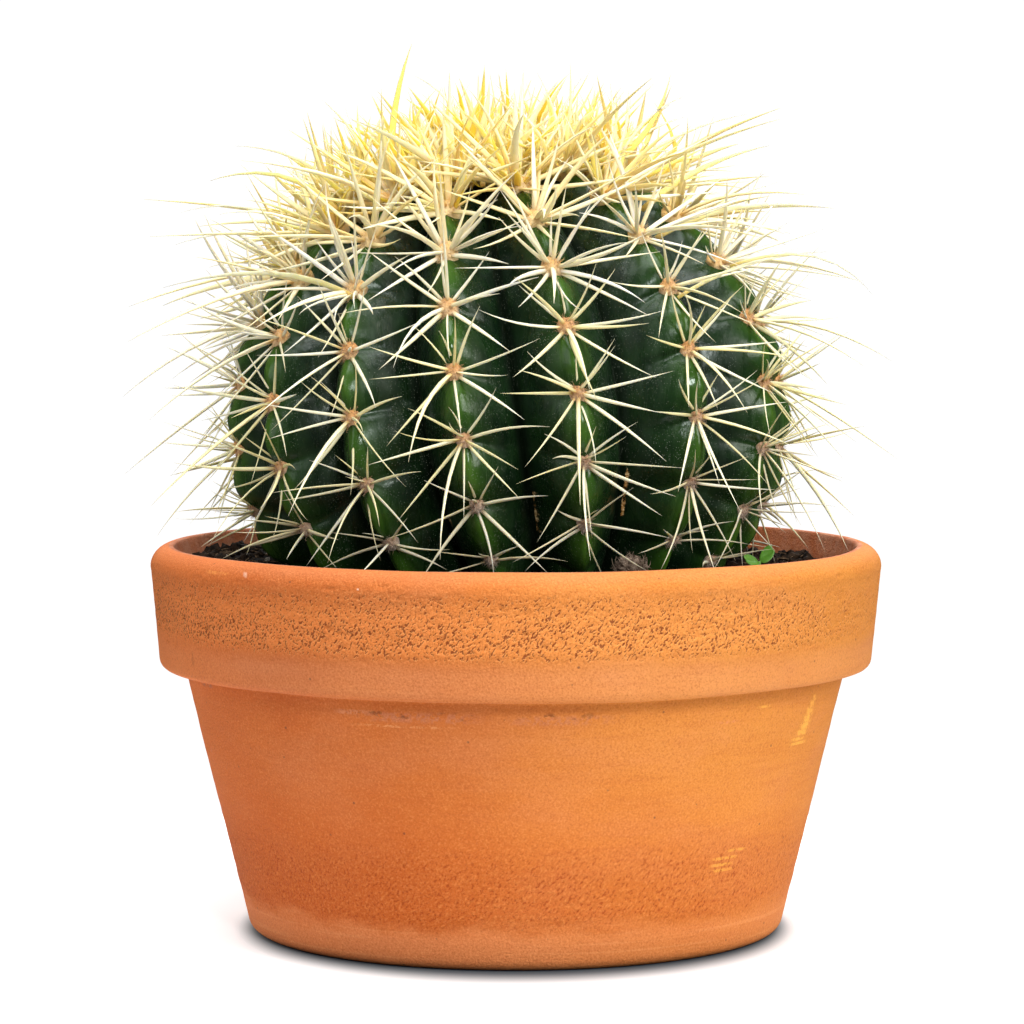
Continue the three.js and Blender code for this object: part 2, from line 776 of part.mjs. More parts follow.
function woolRadius(column, latitude) {
  const groove = WOOL_GROOVE * GROOVE_DEPTH * column.groove * Math.cos(latitude);
  return ballRadius(latitude) - crownDip(latitude) + WOOL_RISE - groove;
}

// Nearer the middle of the crown the spines stand up more.
function crownSpines(order) {
  const raised = (lift) => (spine) => ({
    ...spine,
    lift: spine.lift + lift + order * CROWN_STEP_LIFT,
    sag: 0,
  });
  return {
    radials: RADIAL_SPINES.map(raised(CROWN_RADIAL_LIFT)),
    centrals: CENTRAL_SPINES.map(raised(CROWN_CENTRAL_LIFT)),
  };
}

function crownAreoles(columns, rowList) {
  const areoles = [];
  rowList.forEach((row, rowIndex) => {
    const order = WOOL_AREOLE_LATITUDES.indexOf(row.degrees);
    if (order < 0) {
      return;
    }
    ribs.forEach((rib, ribIndex) => {
      const columnIndex = ribIndex * 2;
      const latitude = row.latitude(columns[columnIndex]);
      areoles.push({
        row: rowIndex,
        column: columnIndex,
        frame: areoleFrame(rib.azimuth, latitude, woolRadius(columns[columnIndex], latitude)),
        scale: CROWN_SPINE_SCALE,
        padScale: lerp(...CROWN_PAD_SCALE, order / (WOOL_AREOLE_LATITUDES.length - 1)),
        ...crownSpines(order),
      });
    });
  });
  return areoles;
}

// The youngest areole, on the stem's axis
function middleAreole() {
  const radius = woolRadius({ groove: 0 }, POLE);
  return {
    frame: {
      origin: onStem(0, POLE, radius),
      out: stemAxis,
      up: new THREE.Vector3(0, 1, 0).transformDirection(stemPose),
      right: new THREE.Vector3(1, 0, 0).transformDirection(stemPose),
    },
    scale: CROWN_SPINE_SCALE,
    padScale: MIDDLE_PAD_SCALE,
    ...crownSpines(WOOL_AREOLE_LATITUDES.length),
  };
}

function makeCrown() {
  const columns = makeColumns(2);
  const woolRow = (degrees) => ({
    degrees,
    latitude: (column) => crownLatitude(degrees, column),
    radius: woolRadius,
  });
  const under = (column, latitude) => seatRadius(column, latitude) + CROWN_GAP;
  const underRow = (degrees) => ({
    latitude: (column) => crownLatitude(degrees, column),
    radius: under,
  });
  const upperRows = [...WOOL_LATITUDES].reverse().map(woolRow);
  upperRows.push(woolRow(WOOL_EDGE_LATITUDE));
  const lowerRows = [WOOL_EDGE_LATITUDE, ...SEAT_LATITUDES.slice(1)].map(underRow);
  const rowList = [...upperRows, ...lowerRows];
  const skin = new Skin();
  const rings = layRows(skin, columns, rowList);
  const bottom = skin.add(onStem(0, POLE, under(null, POLE)));
  skin.fan(bottom, rings[rings.length - 1], false);
  joinRows(skin, rings, crownAreoles(columns, rowList));
  growAreole(skin, rings[0], middleAreole());
  return skin.geometry();
}

// Soil: rings round the pot's axis, from the middle of its top out and down to its floor
function makeSoilBlock() {
  const skin = new Skin();
  const azimuths = Array.from({ length: POT_SIDES }, (_, i) => (i / POT_SIDES) * TURN);
  const ringOf = (place) => azimuths.map((azimuth) => skin.add(place(azimuth)));
  const surface = (radius) => (azimuth) => {
    const point = around(azimuth, radius, 0);
    return point.setZ(soilLevel(point.x, point.y));
  };
  const atWall = (azimuth) => {
    const radius = insideRadius(SOIL_HEIGHT) - WALL_GAP;
    const level = surface(radius)(azimuth).z;
    return around(azimuth, insideRadius(level) - WALL_GAP, level);
  };
  const filletTop = FLOOR_THICKNESS + FLOOR_ROUNDING;
  const bottom = FLOOR_THICKNESS + SEAT_GAP;
  const rings = [
    ...SOIL_RINGS.map((radius) => ringOf(surface(radius))),
    ringOf(atWall),
    ringOf((azimuth) => around(azimuth, insideRadius(filletTop) - WALL_GAP, filletTop)),
    ringOf((azimuth) => around(azimuth, FLOOR_RADIUS - FLOOR_ROUNDING - WALL_GAP, bottom)),
  ];
  skin.fan(skin.add(new THREE.Vector3(0, 0, SOIL_HEIGHT)), rings[0], true);
  skin.fan(skin.add(new THREE.Vector3(0, 0, bottom)), rings[rings.length - 1], false);
  for (let i = 0; i + 1 < rings.length; i += 1) {
    skin.band(rings[i], rings[i + 1]);
  }
  return solidOf(skin.geometry());
}

const seedlingFoot = around(SEEDLING_PLACE.azimuth, SEEDLING_PLACE.distance, 0);
seedlingFoot.z = soilLevel(seedlingFoot.x, seedlingFoot.y);

// A rod on the seedling's axis, between two heights over the soil
function rod(radius, from, to) {
  const skin = new Skin();
  const at = (azimuth, distance, height) => skin.add(around(azimuth, distance, height).add(seedlingFoot));
  const ring = (height) =>
    Array.from({ length: ROD_SIDES }, (_, i) => at((i / ROD_SIDES) * TURN, radius, height));
  const upper = ring(to);
  const lower = ring(from);
  skin.band(upper, lower);
  skin.fan(at(0, 0, to), upper, true);
  skin.fan(at(0, 0, from), lower, false);
  return solidOf(skin.geometry());
}

function makeSoil() {
  const hole = rod(SEEDLING_STEM_RADIUS + SEAT_GAP, -SEEDLING_DEPTH - SEAT_GAP, SEEDLING_HEIGHT);
  return geometryOf(makeSoilBlock().subtract(makeSocket()).subtract(hole));
}

// A seed leaf: an oval that is cupped upwards, thin at its edge
function makeLeaf(azimuth) {
  const skin = new Skin();
  const outline = Array.from({ length: LEAF_SIDES }, (_, i) => {
    const angle = (i / LEAF_SIDES) * TURN;
    return new THREE.Vector2(
      (LEAF_LENGTH / 2) * (1 + Math.cos(angle)),
      (LEAF_WIDTH / 2) * Math.sin(angle),
    );
  });
  const place = (point, lift) => {
    const cup = LEAF_CUP_ALONG * point.x ** 2 + LEAF_CUP_ACROSS * point.y ** 2;
    const along = around(azimuth, point.x + LEAF_START, SEEDLING_HEIGHT - LEAF_DROP + cup + lift);
    const across = around(azimuth + TURN / 4, point.y, 0);
    return skin.add(along.add(across).add(seedlingFoot));
  };
  const upper = outline.map((point) => place(point, LEAF_THICKNESS / 2));
  const lower = outline.map((point) => place(point, -LEAF_THICKNESS / 2));
  const middle = new THREE.Vector2(LEAF_LENGTH / 2, 0);
  skin.band(upper, lower);
  skin.fan(place(middle, LEAF_THICKNESS / 2), upper, true);
  skin.fan(place(middle, -LEAF_THICKNESS / 2), lower, false);
  return solidOf(skin.geometry());
}

function makeSeedling() {
  const stem = rod(SEEDLING_STEM_RADIUS, -SEEDLING_DEPTH, SEEDLING_HEIGHT - LEAF_THICKNESS / 2);
  return geometryOf(stem.add(makeLeaf(LEAF_HEADING)).add(makeLeaf(LEAF_HEADING + TURN / 2)));
}

const tuftCentre = around(TUFT_PLACE.azimuth, TUFT_PLACE.distance, 0);
tuftCentre.z = soilLevel(tuftCentre.x, tuftCentre.y) + TUFT_FLAT * TUFT_RADIUS + TUFT_GAP;

// A crumpled ball of dry fibre, flat where it lies
function makeTuft() {
  const geometry = new THREE.IcosahedronGeometry(TUFT_RADIUS, 1);
  const position = geometry.attributes.position;
  for (let i = 0; i < position.count; i += 1) {
    const point = new THREE.Vector3().fromBufferAttribute(position, i);
    const folds = Math.sin(1.7 * point.x + 2.3 * point.y) * Math.cos(1.9 * point.z - 0.6);
    point.multiplyScalar(1 - TUFT_CRUMPLE * (1 - folds));
    point.setZ(Math.max(point.z, -TUFT_RADIUS * TUFT_FLAT));
    position.setXYZ(i, point.x, point.y, point.z);
  }
  geometry.translate(tuftCentre.x, tuftCentre.y, tuftCentre.z);
  return geometry;
}

keepClear(tuftCentre, TUFT_RADIUS);
keepClear(seedlingFoot.clone().setZ(seedlingFoot.z + SEEDLING_HEIGHT), LEAF_LENGTH + SPINE_GAP);

const cactusInPot = new THREE.Group();
cactusInPot.add(makePot());
cactusInPot.add(piece("soil", makeSoil(), PEAT));
cactusInPot.add(piece("cactus_stem", makeStem(), SKIN));
cactusInPot.add(piece("cactus_crown", makeCrown(), GOLD));
cactusInPot.add(piece("seedling", makeSeedling(), FRESH_LEAF));
cactusInPot.add(piece("dry_tuft", makeTuft(), DRY_FIBRE));

export default cactusInPot;
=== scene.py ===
"""The looks of a golden barrel cactus in a terracotta half pot.

Metres, +Z up, the plant's front faces -Y. An azimuth is 0 at the front and grows towards +X.
Lengths are written in millimetres and multiplied by MM. The finishes take theirs in millimetres.
"""
import itertools
import math

import bpy
import numpy as np
from mathutils import Matrix, Vector, noise


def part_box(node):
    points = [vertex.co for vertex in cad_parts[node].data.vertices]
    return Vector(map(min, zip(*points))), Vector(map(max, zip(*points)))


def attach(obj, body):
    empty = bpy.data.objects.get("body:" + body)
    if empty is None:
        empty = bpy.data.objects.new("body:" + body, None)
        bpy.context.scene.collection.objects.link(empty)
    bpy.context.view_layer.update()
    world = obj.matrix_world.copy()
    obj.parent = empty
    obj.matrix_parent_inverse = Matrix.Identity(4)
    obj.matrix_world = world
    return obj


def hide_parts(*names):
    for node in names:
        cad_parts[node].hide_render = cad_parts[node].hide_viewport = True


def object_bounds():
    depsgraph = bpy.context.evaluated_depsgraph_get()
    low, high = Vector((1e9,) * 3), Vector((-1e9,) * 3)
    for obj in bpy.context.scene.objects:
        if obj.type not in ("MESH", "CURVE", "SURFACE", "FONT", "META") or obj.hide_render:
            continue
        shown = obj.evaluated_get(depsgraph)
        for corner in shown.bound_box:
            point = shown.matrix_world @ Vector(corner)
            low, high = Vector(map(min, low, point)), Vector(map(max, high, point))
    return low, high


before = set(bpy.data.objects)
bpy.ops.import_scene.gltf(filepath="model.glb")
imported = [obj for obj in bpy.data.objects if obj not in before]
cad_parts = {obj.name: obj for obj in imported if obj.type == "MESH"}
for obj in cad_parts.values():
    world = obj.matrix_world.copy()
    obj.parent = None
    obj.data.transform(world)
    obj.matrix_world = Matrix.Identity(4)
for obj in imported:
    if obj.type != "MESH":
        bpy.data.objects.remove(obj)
cad_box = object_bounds()

MM = 0.001
TURN = 2 * math.pi
POLE = math.radians(90)

# Pot, as in the solids
POT_HEIGHT = 111 * MM
RIM_RADIUS = 105 * MM
MOUTH_RADIUS = 98.2 * MM
LIP_ROUNDING = 5.8 * MM
MOUTH_BEVEL = 0.6 * MM
BAND_FOOT_RADIUS = 102.5 * MM
BAND_FOOT_HEIGHT = 76.2 * MM
BAND_ROUNDING = 2.5 * MM
WALL_TOP_RADIUS = 95.1 * MM
FOOT_RADIUS = 76.5 * MM
FOOT_ROUNDING = 4 * MM
FLOOR_RADIUS = 70 * MM
FLOOR_THICKNESS = 9 * MM
FLOOR_ROUNDING = 6 * MM
DRAIN_RADIUS = 8 * MM

# Soil, as in the solids
SOIL_HEIGHT = 104 * MM
SOIL_SLOPE = 0.018
SOIL_ROLLS = ((0.8 * MM, 110, 90, 1.3), (0.5 * MM, 230, -190, 0))
SEAT_GAP = 0.35 * MM
WALL_GAP = 0.4 * MM

# Stem, as in the solids
STEM_CENTRE = np.array((-1.5, -0.4, 145)) * MM
LEAN_BACK = math.radians(9)
LEAN_LEFT = math.radians(8)
STEM_RADIUS = 78 * MM
STEM_RISE = 75 * MM
STEM_DROP = 67.5 * MM
ROOT_DROP = 84 * MM
GROOVE_DEPTH = 13 * MM
GROOVE_POWER = 1.25
CHIN_RISE = 3.4 * MM
CHIN_SAG = 1.2
CHIN_ROUNDNESS = 0.8
CHIN_EDGE = 0.9
NECK_LATITUDE = math.radians(-50)
ROOT_LATITUDE = math.radians(-66)
RIB_COUNT = 14
AREOLE_SPACING = 17.8 * MM
MEAN_RADIUS = (STEM_RADIUS + (STEM_RISE + STEM_DROP) / 2) / 2
AREOLE_STEP = AREOLE_SPACING / MEAN_RADIUS
TOP_AREOLE = 4
SEAT_RIM_LATITUDE = 56.6
SEAT_EDGE_LATITUDE = 58.4
WOOL_EDGE_LATITUDE = 59.4
WOOL_LOBE = math.radians(3)
WOOL_DEPTH = 3.6 * MM
WOOL_RISE = 0.8 * MM
WOOL_GROOVE = 0.35
CROWN_DIP = 2.5 * MM
CROWN_DIP_LATITUDE = math.radians(70)
CROWN_GAP = 0.6 * MM

random = np.random.default_rng(7)


def smoothstep(value, low, high):
    share = np.clip((value - low) / (high - low), 0, 1)
    return share * share * (3 - 2 * share)


def full_turn(count):
    """Evenly spaced angles round a full turn."""
    return np.arange(count) / count * TURN


def around(azimuth, radius, height):
    """Points at an azimuth and a radius round a vertical axis."""
    azimuth, radius, height = np.broadcast_arrays(azimuth, radius, height)
    return np.stack((np.sin(azimuth) * radius, -np.cos(azimuth) * radius, height), axis=-1)


def unit(vectors):
    return vectors / np.maximum(np.linalg.norm(vectors, axis=-1, keepdims=True), 1e-12)


def noise_at(points, size, octaves, seed):
    """Soft noise from about -1 to 1 with features of the given size."""
    shift = Vector((seed * 17.3, seed * 5.1, seed * 9.7))
    flat = np.reshape(points, (-1, 3)) / size
    values = [noise.fractal(Vector(point) + shift, 1.0, 2.0, octaves) for point in flat]
    return np.reshape(values, np.shape(points)[:-1])


# Meshes


def new_object(name, data):
    thing = bpy.data.objects.new(name, data)
    bpy.context.scene.collection.objects.link(thing)
    return thing


def new_piece(name, points, faces, finish, attributes=None, replaces=()):
    """A smooth mesh that rides on the one body, with its values for the finish."""
    mesh = bpy.data.meshes.new(name)
    mesh.from_pydata(np.asarray(points).tolist(), [], faces)
    mesh.polygons.foreach_set("use_smooth", [True] * len(mesh.polygons))
    for key, values in (attributes or {}).items():
        layer = mesh.attributes.new(key, "FLOAT", "POINT")
        layer.data.foreach_set("value", np.asarray(values, np.float32).ravel())
    mesh.materials.append(finish)
    mesh.update()
    piece = new_object(name, mesh)
    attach(piece, "root")
    if replaces:
        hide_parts(*replaces)
    return piece


def closed_skin(rings, top, bottom, start=0):
    """The points and faces of a skin over rings, the first on top, with a point at each end.

    start is how many points the mesh already has.
    """
    rings = np.array(rings)
    points = [*rings.reshape(-1, 3).tolist(), list(top), list(bottom)]
    numbers = np.arange(start, start + len(points) - 2).reshape(rings.shape[:2])
    after = np.roll(numbers, -1, axis=1)
    quads = np.stack((numbers[:-1], numbers[1:], after[1:], after[:-1]), axis=-1)
    faces = quads.reshape(-1, 4).tolist()
    last = start + len(points) - 1
    faces.extend((last - 1, a, b) for a, b in zip(numbers[0].tolist(), after[0].tolist()))
    faces.extend((last, b, a) for a, b in zip(numbers[-1].tolist(), after[-1].tolist()))
    return points, faces


def tubes(paths, wide, half_width, half_thickness, sides):
    """Closed tapering tubes along paths, as points and faces.

    paths is (tubes, steps, 3), wide the direction of the broad side of each tube, and the
    half sizes are (tubes, steps).
    """
    count, steps, _ = paths.shape
    along = unit(np.gradient(paths, axis=1))
    wide = wide[:, None, :]
    broad = unit(wide - along * np.sum(wide * along, axis=-1, keepdims=True))
    flat = np.cross(along, broad)
    angle = full_turn(sides)
    points = (
        paths[:, :, None, :]
        + broad[:, :, None, :] * (half_width[:, :, None] * np.cos(angle))[..., None]
        + flat[:, :, None, :] * (half_thickness[:, :, None] * np.sin(angle))[..., None]
    )
    numbers = np.arange(count * steps * sides).reshape(count, steps, sides)
    after = np.roll(numbers, -1, axis=2)
    walls = np.stack((numbers[:, :-1], after[:, :-1], after[:, 1:], numbers[:, 1:]), axis=-1)
    faces = walls.reshape(-1, 4).tolist()
    faces += numbers[:, 0, ::-1].tolist()
    faces += numbers[:, -1].tolist()
    return points.reshape(-1, 3), faces


def bezier(starts, bends, ends, shares):
    share = shares[None, :, None]
    back = 1 - share
    return back**2 * starts[:, None] + 2 * back * share * bends[:, None] + share**2 * ends[:, None]


def build_fibres(name, start, bend, end, wide, half, sides, finish, values=None):
    """Fibres that bend once, with half widths for their steps and values for each fibre."""
    paths = bezier(start, bend, end, np.linspace(0, 1, half.shape[-1]))
    half = np.broadcast_to(half, paths.shape[:2])
    points, faces = tubes(paths, np.broadcast_to(wide, start.shape), half, half, sides)
    repeats = half.shape[1] * sides
    attributes = {key: np.repeat(value, repeats) for key, value in (values or {}).items()}
    new_piece(name, points, faces, finish, attributes)


# Finishes


class Value:
    """A number, colour or shader that nodes work out."""

    def __init__(self, nodes, socket):
        self.nodes = nodes
        self.socket = socket

    def __add__(self, other):
        return self.nodes.math("ADD", self, other)

    def __sub__(self, other):
        return self.nodes.math("SUBTRACT", self, other)

    def __mul__(self, other):
        return self.nodes.math("MULTIPLY", self, other)

    def __truediv__(self, other):
        return self.nodes.math("DIVIDE", self, other)

    def __abs__(self):
        return self.nodes.math("ABSOLUTE", self)

    def band(self, low, high, start=0.0, end=1.0):
        """The value mapped smoothly from low..high to start..end."""
        inputs = {"Value": self, "From Min": low, "From Max": high, "To Min": start, "To Max": end}
        return self.nodes.made("ShaderNodeMapRange", "Result", inputs, interpolation_type="SMOOTHSTEP")

    def span(self, low, high, start=0.0, end=1.0):
        """The same for a length, with its limits in millimetres."""
        return self.band(low * MM, high * MM, start, end)


class Nodes:
    """The nodes of a material or a world."""

    def __init__(self, block):
        block.use_nodes = True
        self.tree = block.node_tree

    def link(self, value, socket):
        if isinstance(value, Value):
            self.tree.links.new(value.socket, socket)
        else:
            bare_colour = socket.type == "RGBA" and len(value) == 3
            socket.default_value = (*value, 1) if bare_colour else value

    def made(self, kind, output, inputs=None, **settings):
        """An output of a new node."""
        node = self.tree.nodes.new(kind)
        for key, value in settings.items():
            setattr(node, key, value)
        for key, value in (inputs or {}).items():
            self.link(value, node.inputs[key])
        return Value(self, node.outputs[output])


class Finish(Nodes):
    """The nodes of one material, and its colour so far."""

    def __init__(self, name):
        self.material = bpy.data.materials.new(name)
        super().__init__(self.material)
        self.place = self.made("ShaderNodeTexCoord", "Object")
        self.colour = None

    def done(self, **values):
        """The material, with these sockets of its shader set, spaces written as underscores."""
        shader = self.tree.nodes["Principled BSDF"]
        sockets = {socket.name.lower().replace(" ", "_"): socket for socket in shader.inputs}
        for key, value in {"base_color": self.colour, **values}.items():
            self.link(value, sockets[key])
        return self.material

    def axes(self):
        """The place's x, y and z."""
        x = self.made("ShaderNodeSeparateXYZ", "X", {"Vector": self.place})
        return [Value(self, socket) for socket in x.socket.node.outputs]

    def value(self, name):
        """A value that the mesh has at each point."""
        return self.made("ShaderNodeAttribute", "Fac", attribute_name=name)

    def noise(self, size, detail=3.0, roughness=0.55, scale=(1, 1, 1), distortion=0.0):
        """Noise with features of a size, squeezed along each axis by a scale."""
        inputs = {
            "Vector": self.made("ShaderNodeMapping", "Vector", {"Vector": self.place, "Scale": scale}),
            "Scale": 1 / (size * MM),
            "Detail": detail,
            "Roughness": roughness,
            "Distortion": distortion,
        }
        return self.made("ShaderNodeTexNoise", "Fac", inputs)

    def slanted(self, size, detail, shift=(0, 0, 0)):
        """Noise drawn out along a direction that leans to the right on the front."""
        inputs = {
            "Vector": self.place,
            "Location": shift,
            "Rotation": (0, PIT_SLANT, 0),
            "Scale": (1, 1, PIT_STRETCH),
        }
        leaning = self.made("ShaderNodeMapping", "Vector", inputs, vector_type="TEXTURE")
        inputs = {"Vector": leaning, "Scale": 1 / (size * MM), "Detail": detail, "Roughness": 0.6}
        return self.made("ShaderNodeTexNoise", "Fac", inputs)

    def specks(self, spacing, largest, smallest):
        """1 in small round specks, scattered at a spacing, with a soft edge between two radii."""
        inputs = {"Vector": self.place, "Scale": 1 / (spacing * MM), "Randomness": 1.0}
        return self.made("ShaderNodeTexVoronoi", "Distance", inputs).band(largest, smallest)

    def math(self, operation, *values):
        return self.made("ShaderNodeMath", 0, dict(enumerate(values)), operation=operation)

    def mix(self, share, first, second):
        return self.made("ShaderNodeMix", 2, {0: share, 6: first, 7: second}, data_type="RGBA")

    def paint(self, tone, share):
        """Lays a tone over the colour so far, as strongly as share says."""
        self.colour = self.mix(share, self.colour, tone)

    def ramp(self, value, stops):
        """A colour that runs through tones at places of a value."""
        colour = self.made("ShaderNodeValToRGB", "Color", {"Fac": value})
        elements = colour.socket.node.color_ramp.elements
        while len(elements) < len(stops):
            elements.new(0.5)
        for element, (place, tone) in zip(elements, stops):
            element.position = place
            element.color = (*tone, 1)
        return colour

    def bump(self, height, distance, strength=1.0, after=None):
        inputs = {"Height": height, "Distance": distance * MM, "Strength": strength}
        if after is not None:
            inputs["Normal"] = after
        return self.made("ShaderNodeBump", "Normal", inputs)


PIT_SLANT = math.radians(38)
PIT_STRETCH = 1.9
PIT_SIZE = 0.6
LIP_SHIFT = (0.12 * MM, 0, -0.24 * MM)
FRONT_START = -20
FRONT_END = -40

# Yellow dashes of a brush low on the right of the pot, and a slanted stroke under its band:
# left end, height, half the length and half the height, in millimetres
YELLOW_DASHES = (
    (53.3, 25.4, 3.4, 0.5),
    (53.0, 27.0, 3.5, 0.5),
    (53.6, 28.8, 4.0, 0.5),
    (58.2, 30.7, 2.8, 0.5),
    (75.9, 58.7, 2.7, 0.5),
    (76.3, 60.0, 2.2, 0.5),
    (78.0, 61.6, 1.7, 1.0),
    (79.0, 63.4, 1.6, 1.2),
    (79.9, 65.4, 1.4, 1.3),
    (80.9, 67.4, 1.1, 1.4),
    (82.0, 69.4, 0.7, 1.3),
    (82.9, 71.2, 0.5, 1.0),
    (66.0, 71.2, 2.0, 0.4),
)

# Small marks on the pot: x, height, half width and half height in millimetres, colour and strength
POT_MARKS = (
    (-73.2, 108.2, 0.6, 0.8, (0.82, 0.52, 0.38), 0.75),
    (-81.3, 108.0, 3.6, 0.5, (0.80, 0.34, 0.08), 0.7),
    (-55.5, 99.2, 0.6, 2.6, (0.80, 0.32, 0.07), 0.5),
    (-89.2, 82.8, 0.5, 2.4, (0.24, 0.05, 0.02), 0.6),
    (-86.3, 74.6, 2.0, 1.1, (0.16, 0.10, 0.10), 0.8),
    (-41.9, 106.3, 0.3, 0.3, (0.84, 0.60, 0.46), 0.8),
    (-44.0, 72.0, 5.0, 0.8, (0.72, 0.33, 0.17), 0.5),
    (-26.0, 71.2, 18.0, 1.7, (0.52, 0.20, 0.105), 0.6),
    (-30.0, 68.6, 14.0, 0.4, (0.84, 0.42, 0.16), 0.5),
    (12.0, 70.8, 16.0, 1.5, (0.56, 0.21, 0.105), 0.55),
    (78.6, 59.9, 0.9, 0.7, (0.80, 0.38, 0.06), 0.8),
    (58.0, 68.0, 3.0, 0.4, (0.66, 0.24, 0.13), 0.6),
)


def tint_clay(clay, x, z, worn_height):
    """Redder on the left, yellower on the right, red towards the foot and paler round it. The change from
    left to right and the stronger red of the foot on the left are painted light and shade.
    """
    broad = clay.noise(70).band(0.3, 0.7)
    redder = clay.mix(broad, (0.54, 0.120, 0.025), (0.62, 0.162, 0.037))
    yellower = clay.mix(broad, (0.63, 0.230, 0.037), (0.71, 0.285, 0.053))
    # painted light and shade: darker red on the left, lighter yellow on the right where the lamp stands
    clay.colour = clay.mix(x.span(-80, 95), redder, yellower)
    streaks = clay.noise(24, 5, scale=(1, 1, 12)).band(0.45, 0.75)
    clay.paint((0.48, 0.115, 0.022), streaks * 0.25)
    haze = clay.noise(34, 4, scale=(1, 1, 2.2)).band(0.42, 0.74)
    clay.paint((0.68, 0.27, 0.125), haze * 0.22)
    clay.paint((0.76, 0.32, 0.15), z.span(75, 78) * z.span(90, 83) * 0.28)
    # the lip is paler, partly from wear and partly as a painted highlight on its top
    clay.paint((0.56, 0.22, 0.10), clay.value("lip") * 0.3)
    # red towards the foot; its stronger share on the left is painted shade
    clay.paint((0.50, 0.10, 0.013), z.span(77, 5) * x.span(-60, 0, 0.9, 0.5))
    clay.paint((0.84, 0.35, 0.15), worn_height.span(20, 13) * x.span(-20, 60, 0.34, 0.18))
    turned = clay.noise(1.5, scale=(0.02, 0.02, 1)).band(0.54, 0.68)
    clay.paint((0.90, 0.46, 0.18), turned * z.span(8, 14, 0.14, 0.03))
    clay.paint((0.12, 0.05, 0.03), clay.specks(7, 0.07, 0.035) * 0.7)


def mark_clay(clay, x, y, z):
    """The brush dashes, the small marks and the soot under the band."""

    def patch(across, height, half_width, half_height, torn):
        """A soft-edged patch on the front of the pot, broken up by noise."""
        inside = abs(x - across * MM).span(half_width * 0.4, half_width * 1.2, 1.0, 0.0)
        upright = abs(z - height * MM).span(half_height * 0.4, half_height * 1.2, 1.0, 0.0)
        return inside * upright * y.span(FRONT_START, FRONT_END) * torn

    torn = clay.noise(2.6, 4, 0.7).band(0.34, 0.5)
    for left, height, half_length, half_height in YELLOW_DASHES:
        dash = patch(left + half_length, height, half_length, half_height, torn)
        clay.paint((0.87, 0.43, 0.07), dash * 0.85)
    flaky = clay.noise(1.7, 4, 0.7).band(0.42, 0.56)
    for across, height, half_width, half_height, tone, strength in POT_MARKS:
        clay.paint(tone, patch(across, height, half_width, half_height, flaky) * strength)
    crumbs = clay.noise(2.2, scale=(0.8, 0.8, 1.2)).band(0.56, 0.68)
    clay.paint((0.12, 0.032, 0.014), patch(-12, 71.8, 42, 1.2, crumbs) * 0.7)


def tear_band(clay, x, z):
    """Paints the band's pitted zone with painted shade in the dragged pits and a painted highlight on their
    lips, and returns their relief.
    """
    zone = z.span(86, 91) * z.span(107.5, 98) * clay.noise(30).band(0.25, 0.5) * x.span(60, 98, 1.0, 0.25)
    # paler in the pitted zone; its change from redder on the left to yellower on the right is painted light
    raised = clay.mix(x.span(-75, 60), (0.97, 0.29, 0.070), (0.94, 0.35, 0.078))
    clay.paint(raised, zone * 0.7)
    # painted light: the left end of the band is made lighter where the lamps' light falls off
    clay.paint((0.92, 0.25, 0.06), x.span(-62, -100, 0.0, 0.4))
    clusters = clay.noise(6, 2).band(0.3, 0.7, 0.02, 0.08)
    deeper = zone * (z.span(86, 91) * z.span(101, 95, 0.2, 1.0)) * clusters
    sunk = clay.slanted(PIT_SIZE, 1.5) - deeper
    beside = clay.slanted(PIT_SIZE, 1.5, LIP_SHIFT) - deeper
    # painted highlight on one lip of each pit, from the pits' pattern shifted a little
    clay.paint((0.98, 0.50, 0.17), beside.band(0.41, 0.36) * zone.band(0.02, 0.25) * 0.28)
    # painted shade inside the pits
    clay.paint((0.16, 0.014, 0.002), sunk.band(0.385, 0.345) * zone.band(0.02, 0.4) * 0.82)
    # painted shade, darker where the carved pits go deeper
    clay.paint((0.36, 0.09, 0.025), clay.value("pit") * 0.1)
    return sunk.band(0.28, 0.6) * zone.band(0.0, 0.6, 0.12, 1.0)


def stain_inside(clay):
    """A browner inside, and scuffs on the lip."""
    stained = clay.noise(12, 5, 0.65).band(0.35, 0.65)
    inside = clay.mix(stained, (0.52, 0.15, 0.06), (0.60, 0.26, 0.15))
    clay.paint(inside, clay.value("inner"))
    clay.paint((0.10, 0.06, 0.05), clay.value("lip") * clay.noise(9, 5, 0.7).band(0.66, 0.74) * 0.5)


def terracotta():
    clay = Finish("terracotta")
    x, y, z = clay.axes()
    grain = clay.noise(0.6, 3, 0.7)
    worn_height = z + clay.noise(16, 4, scale=(1, 1, 3)) * (10 * MM)
    tint_clay(clay, x, z, worn_height)
    mark_clay(clay, x, y, z)
    relief = tear_band(clay, x, z)
    stain_inside(clay)
    clay.paint((0.36, 0.075, 0.016), grain.band(0.49, 0.35) * 0.36)
    clay.paint((0.86, 0.38, 0.14), grain.band(0.51, 0.67) * 0.26)
    rough_zone = worn_height.span(14, 21) * worn_height.span(47, 30, 0.10, 1.0) * z.span(77, 74)
    clay.paint((0.46, 0.080, 0.009), rough_zone * 0.22)
    peel = clay.slanted(0.66, 2.0)
    # painted shade in the dents of the orange peel and a painted highlight on its tops, in step with its bump
    clay.paint((0.30, 0.045, 0.007), peel.band(0.43, 0.35) * rough_zone * 0.68)
    clay.paint((0.90, 0.36, 0.10), peel.band(0.56, 0.66) * rough_zone * 0.22)
    fine = clay.bump(clay.noise(0.7, 3, 0.65), 0.36)
    rough = clay.bump(peel * rough_zone, 0.6, 1.0, fine)
    lines = clay.bump(clay.noise(2.2, 2, scale=(0.03, 0.03, 1)), 0.07, 0.7, rough)
    return clay.done(
        roughness=grain.band(0.3, 0.7, 0.72, 0.86),
        specular_ior_level=0.15,
        normal=clay.bump(relief, 0.27, 1.0, lines),
    )


